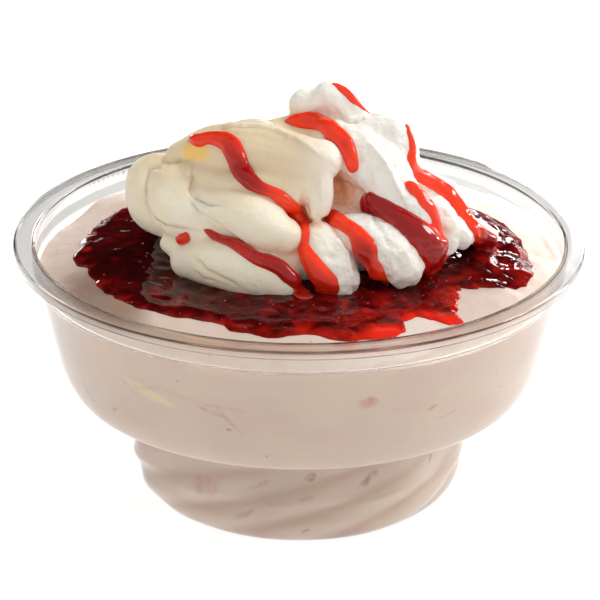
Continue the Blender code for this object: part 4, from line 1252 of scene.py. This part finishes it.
def cream_finish(settings):
    finish = Finish("whipped_cream")
    point = finish.place()
    air = finish.attribute("air")
    cloudy = finish.grain(point, 10.0)
    x, _, z = finish.axes(point)
    high = z.ramp(RIM_Z + 25.0, RIM_Z + 28.0)
    # Painted light: the right side and the high top are whiter
    side = x.ramp(-3.0, 12.0).math("MAXIMUM", high)
    # Painted shade: the ridge high on the left is warmer and darker
    ridge_shade_share = z.ramp(RIM_Z + 12.0, RIM_Z + 18.0) * (1 - side)
    colour = finish.layered(
        settings.colour, (cloudy.ramp(0.25, 0.65) * (1 - 0.7 * side), settings.rich),
        (ridge_shade_share * 0.9, settings.tan), (side * 0.8, settings.painted_light),
        # Painted light: a yellow glow through the cream
        (finish.attribute("butter"), settings.butter),
        # Painted warm shade in the hollows that see little sky
        ((1 - air.ramp(0.12, 0.52)) * 0.8 * (1 - high), settings.hollow_shade))
    fine = finish.grain(point, 0.7, detail=4.0)
    lumpy = finish.grain(point, 2.4) + side * 1.6 * finish.grain(point, 1.5, detail=1.5)
    finish.set(Base_Color=colour, Roughness=0.42 + 0.12 * fine, Subsurface_Weight=0.3,
               Subsurface_Radius=(1.0, 0.8, 0.5), Subsurface_Scale=2.0 * MM,
               Normal=finish.bump(fine, 0.1, under=finish.bump(lumpy, 0.3)))
    return finish.material


class CreamSettings(bpy.types.PropertyGroup):
    colour: colour_choice("Colour", "Most of the cream", srgb(248, 242, 226))
    rich: colour_choice("Rich colour", "Yellower clouds in it", srgb(247, 235, 210))
    # Painted light on the right side and the top
    painted_light: colour_choice("White", "The whiter cream on the right", srgb(255, 253, 248))
    # Painted shade on the ridge high on the left
    tan: colour_choice("Tan", "The warmer cream high on the left", srgb(230, 211, 178))
    # Painted light: the yellow glow through the cream
    butter: colour_choice("Butter colour", "A yellow spot by the first run of sauce", srgb(253, 208, 116))
    # Painted shade deep in its hollows
    hollow_shade: colour_choice("Hollow colour", "Deep in its hollows", srgb(230, 148, 78))
    smoothing: IntProperty(name="Smoothing", description="Rounds of smoothing", default=4, min=0)
    relief: length_choice("Relief", "Size of one millimetre of relief", 1.0)


class DESSERT_OT_cream(bpy.types.Operator):
    """Build the heap of whipped cream"""

    bl_idname = "dessert.cream"
    bl_label = "Whipped cream"

    def execute(self, context):
        settings = context.scene.dessert_cream
        new_piece("whipped_cream", build_cream_mesh(settings), cream_finish(settings), "cream", "cream")
        return {"FINISHED"}


# ---------------------------------------------------------------------------------------------
# Sauce


def run_points(route, surface):
    """Points (place, normal, width, shade) along a run of sauce on what it lies on."""
    eye = Vector(VIEWPOINT) * MM
    knots = []
    for x, height, width, shade in route:
        drawn = Vector((x, 0, RIM_Z + height)) * MM
        hit = surface.ray_cast(eye, (drawn - eye).normalized())[0]
        knots.append((*(hit or surface.find_nearest(drawn)[0]), width, shade))
    points = []
    for *place, width, shade in catmull_rom(knots, SAUCE_STEPS):
        foot, normal = surface.find_nearest(Vector(place))[:2]
        points.append((foot, normal, width, shade))
    return points


def smoothed_normals(points):
    normals = [point[1] for point in points]
    for _ in range(SAUCE_SMOOTHING):
        padded = [normals[0], *normals, normals[-1]]
        normals = [(a + b * 2 + c).normalized() for a, b, c in zip(padded, padded[1:], padded[2:])]
    return normals


def add_run(form, points, surface, settings):
    """Lofts one run of sauce over what it lies on, narrowing at both ends."""
    normals = smoothed_normals(points)
    last = len(points) - 1
    loops = []
    for i, (place, _, width, _) in enumerate(points):
        normal = normals[i]
        along = (points[min(i + 1, last)][0] - points[max(i - 1, 0)][0]).normalized()
        side = along.cross(normal).normalized()
        from_end = min((place - points[end][0]).length for end in (0, last)) / (width * MM / 2)
        fullness = max(math.sqrt(max(1 - max(1 - from_end, 0.0) ** 2, 0.0)), SAUCE_TIP)
        half = fullness * width * (1 + SAUCE_WOBBLE * hollow_noise(place / MM, 5.0, 3.0)) * MM / 2
        wide = smooth_step((half / MM - SAUCE_WIDE) / 1.5)
        height = min(settings.thickness * (1 + SAUCE_WIDE_RISE * wide), half * settings.fullness)
        height *= SAUCE_LOW + (1 - SAUCE_LOW) * smooth_step((place.z / MM - RIM_Z + 3) / 4)
        hug = 1 - SAUCE_BRIDGE * wide
        top = []
        bottom = []
        for step in range(SAUCE_POINTS):
            across = 2 * step / (SAUCE_POINTS - 1) - 1
            flat = place + side * across * half
            foot = flat.lerp(surface.find_nearest(flat)[0], hug)
            top.append(foot + normal * height * (1 - across ** 2) ** 0.5)
            bottom.append(foot - normal * SAUCE_SINK * MM)
        loops.append([form.verts.new(corner) for corner in top + bottom[::-1]])
    skin_rings(form, loops)
    for cap in (loops[0][::-1], loops[-1]):
        form.faces.new(cap)


def build_sauce_mesh(settings, under):
    surface = surface_of(*under)
    runs = [run_points(route, surface) for route in SAUCE_RUNS.values()]
    form = bmesh.new()
    for points in runs:
        add_run(form, points, surface, settings)
    bmesh.ops.recalc_face_normals(form, faces=form.faces)
    mesh = remeshed(mesh_from(form), SAUCE_VOXEL, SAUCE_ROUNDS)
    line = [point for points in runs for point in points]
    finder = KDTree(len(line))
    for i, point in enumerate(line):
        finder.insert(point[0], i)
    finder.balance()
    depths = []
    shades = []
    for vertex in mesh.vertices:
        foot, normal = surface.find_nearest(vertex.co)[:2]
        depths.append((vertex.co - foot).dot(normal) / MM)
        near = finder.find_n(vertex.co, SHADE_POINTS)
        weights = [1 / (distance / MM + 0.5) ** 2 for _, _, distance in near]
        shade = sum(weight * line[i][3] for weight, (_, i, _) in zip(weights, near))
        shades.append(shade / sum(weights))
    set_attribute(mesh, "depth", depths)
    set_attribute(mesh, "shade", shades)
    return mesh


def sauce_finish(settings):
    finish = Finish("berry_sauce")
    point = finish.place()
    depth = finish.attribute("depth")
    shade = finish.attribute("shade")
    cloudy = finish.grain(point, 1.8, detail=3.0)
    # The shade drawn along each run paints light and shade on the sauce; thick sauce is darker too
    deep = shade + 0.3 * cloudy + 0.25 * depth.ramp(0.6, 2.2) - 0.25
    edge = 1 - depth.ramp(-0.2, 0.45)
    colour = finish.layered(settings.bright, (deep.ramp(0.0, 0.95), settings.dark),
                            (edge * 0.6, settings.thin))
    finish.set(Base_Color=colour, Roughness=0.03 + 0.03 * cloudy, IOR=1.45, Subsurface_Weight=0.2,
               Subsurface_Radius=(1.0, 0.2, 0.1), Subsurface_Scale=1.2 * MM,
               Normal=finish.bump(finish.grain(point, 2.6), 0.03))
    return finish.material


class SauceSettings(bpy.types.PropertyGroup):
    bright: colour_choice("Bright colour", "Where light comes through it", srgb(255, 62, 28))
    dark: colour_choice("Dark colour", "Where it is thick or shaded", srgb(158, 10, 14))
    thin: colour_choice("Thin colour", "Its thin edges over the cream", srgb(240, 96, 74))
    thickness: length_choice("Thickness", "Most that a run rises over the cream", 1.9)
    fullness: FloatProperty(
        name="Fullness", description="Rise of a narrow run, as a share of half its width", default=0.72)


class DESSERT_OT_sauce(bpy.types.Operator):
    """Pour the runs of red sauce over the cream and the compote"""

    bl_idname = "dessert.sauce"
    bl_label = "Sauce"

    def execute(self, context):
        settings = context.scene.dessert_sauce
        under = [bpy.data.objects[name].data for name in ("whipped_cream", "berry_compote")]
        mesh = build_sauce_mesh(settings, under)
        new_piece("berry_sauce", mesh, sauce_finish(settings), "cream", "cream")
        return {"FINISHED"}


# ---------------------------------------------------------------------------------------------
# Stage


def place_camera():
    """The camera that sees the cup as the photograph does."""
    data = bpy.data.cameras.new("camera")
    data.sensor_width = SENSOR_WIDTH
    data.lens = VIEW_FOCAL_PIXELS * SENSOR_WIDTH / VIEW_PIXELS
    data.clip_start, data.clip_end = CLIP_RANGE
    camera = new_object("camera", data)
    back = Vector((0, -math.cos(VIEW_ELEVATION), math.sin(VIEW_ELEVATION)))
    camera.location = (Vector((0, 0, RIM_Z)) + back * VIEW_DISTANCE) * MM
    middle = VIEW_PIXELS / 2
    pitch = math.pi / 2 - VIEW_ELEVATION - math.atan((middle - RIM_PIXEL[1]) / VIEW_FOCAL_PIXELS)
    yaw = math.atan((RIM_PIXEL[0] - middle) / VIEW_FOCAL_PIXELS)
    turn = Matrix.Rotation(yaw, 4, "Z") @ Matrix.Rotation(pitch, 4, "X")
    camera.rotation_euler = (turn @ Matrix.Rotation(VIEW_ROLL, 4, "Z")).to_euler()
    bpy.context.scene.camera = camera


def add_lamp(name, power):
    """A soft lamp that faces the dessert."""
    place, width, height, colour, unseen_by = LAMPS[name]
    data = bpy.data.lights.new(name + "_lamp", "AREA")
    data.shape = "RECTANGLE"
    data.size = width
    data.size_y = height
    data.energy = power
    data.color = colour
    lamp = new_object(name + "_lamp", data)
    lamp.location = place
    lamp.rotation_euler = (Vector(LAMP_AIM) - lamp.location).to_track_quat("-Z", "Y").to_euler()
    for ray in ("camera", *unseen_by):
        setattr(lamp, "visible_" + ray, False)


def studio_sky(settings):
    """An even light, but for the near black behind that the wet compote mirrors."""
    world = bpy.data.worlds.new("sky")
    world.use_nodes = True
    tree = Tree(world.node_tree)
    way = tree.add("ShaderNodeTexCoord")
    behind = tree.add("ShaderNodeVectorMath", {"operation": "DOT_PRODUCT"},
                      {0: way, 1: SKY_DARK_WAY}, "Value")
    background = world.node_tree.nodes["Background"]
    background.inputs["Color"].default_value = (*SKY_WHITE, 1.0)
    strength = settings.sky * (1 - SKY_DARKNESS * behind.ramp(0.4, 0.75))
    world.node_tree.links.new(strength.socket, background.inputs["Strength"])
    return world


def floor_finish(settings):
    finish = Finish("pale_floor")
    fine = finish.grain(finish.place(), 60.0)
    colour = finish.mix(fine, settings.floor, tuple(0.98 * level for level in settings.floor))
    finish.set(Base_Color=colour, Roughness=0.6, Emission_Color=(1.0, 1.0, 1.0),
               Emission_Strength=settings.floor_glow)
    return finish.material


class StageSettings(bpy.types.PropertyGroup):
    floor: colour_choice("Floor", "Colour of the floor", (0.35, 0.35, 0.35))
    floor_glow: FloatProperty(name="Floor glow", description="Light of the floor's own", default=0.86)
    sky: FloatProperty(name="Sky", description="Strength of the light from the front and above",
                       default=0.70)
    key: power_choice("Key lamp", "Power of the soft lamp above, behind on the right", 12.5)
    spark: power_choice("Spark lamp", "Power of the strip on the right that only glints", 6.0)
    gleam: power_choice("Gleam lamp", "Power of the broader one behind it that only glints", 6.0)
    glint: power_choice("Glint lamp", "Power of the small one behind that shines on the wet compote", 2.7)
    low: power_choice("Low lamp", "Power of the low lamp behind", 5.5)
    side: power_choice("Side lamp", "Power of the low lamp behind on the left", 1.0)
    fill: power_choice("Fill lamp", "Power of the broad lamp in front on the right", 1.2)


class DESSERT_OT_stage(bpy.types.Operator):
    """Add the floor, the lamps, the sky and the camera"""

    bl_idname = "dessert.stage"
    bl_label = "Stage"

    def execute(self, context):
        settings = context.scene.dessert_stage
        form = bmesh.new()
        bmesh.ops.create_grid(form, x_segments=1, y_segments=1, size=FLOOR_REACH)
        floor = new_object("floor", mesh_from(form))
        floor.data.materials.append(floor_finish(settings))
        context.scene.world = studio_sky(settings)
        for name in LAMPS:
            add_lamp(name, getattr(settings, name))
        place_camera()
        context.scene.view_settings.view_transform = "Standard"
        return {"FINISHED"}


# ---------------------------------------------------------------------------------------------
# Panel and registration


GROUPS = {"dessert_cup": CupSettings, "dessert_mousse": MousseSettings,
          "dessert_compote": CompoteSettings, "dessert_cream": CreamSettings,
          "dessert_sauce": SauceSettings, "dessert_stage": StageSettings}
OPERATORS = (DESSERT_OT_stage, DESSERT_OT_cup, DESSERT_OT_mousse, DESSERT_OT_compote,
             DESSERT_OT_cream, DESSERT_OT_sauce)


class DESSERT_PT_panel(bpy.types.Panel):
    """Sizes and colours of the dessert, with a button for each piece"""

    bl_label = "Berry mousse cup"
    bl_idname = "DESSERT_PT_panel"
    bl_space_type = "VIEW_3D"
    bl_region_type = "UI"
    bl_category = "Dessert"

    def draw(self, context):
        for group in GROUPS:
            box = self.layout.box()
            settings = getattr(context.scene, group)
            for name in settings.bl_rna.properties.keys():
                if name not in ("rna_type", "name"):
                    box.prop(settings, name)
        for operator in OPERATORS:
            self.layout.operator(operator.bl_idname)


def register():
    for group in (*GROUPS.values(), *OPERATORS, DESSERT_PT_panel):
        bpy.utils.register_class(group)
    for name, group in GROUPS.items():
        setattr(bpy.types.Scene, name, PointerProperty(type=group))


def unregister():
    for name in GROUPS:
        delattr(bpy.types.Scene, name)
    for group in (DESSERT_PT_panel, *OPERATORS, *GROUPS.values()):
        bpy.utils.unregister_class(group)


def main():
    register()
    bpy.ops.dessert.stage()
    bpy.ops.dessert.cup()
    bpy.ops.dessert.mousse()
    bpy.ops.dessert.compote()
    bpy.ops.dessert.cream()
    bpy.ops.dessert.sauce()


if __name__ == "__main__":
    main()
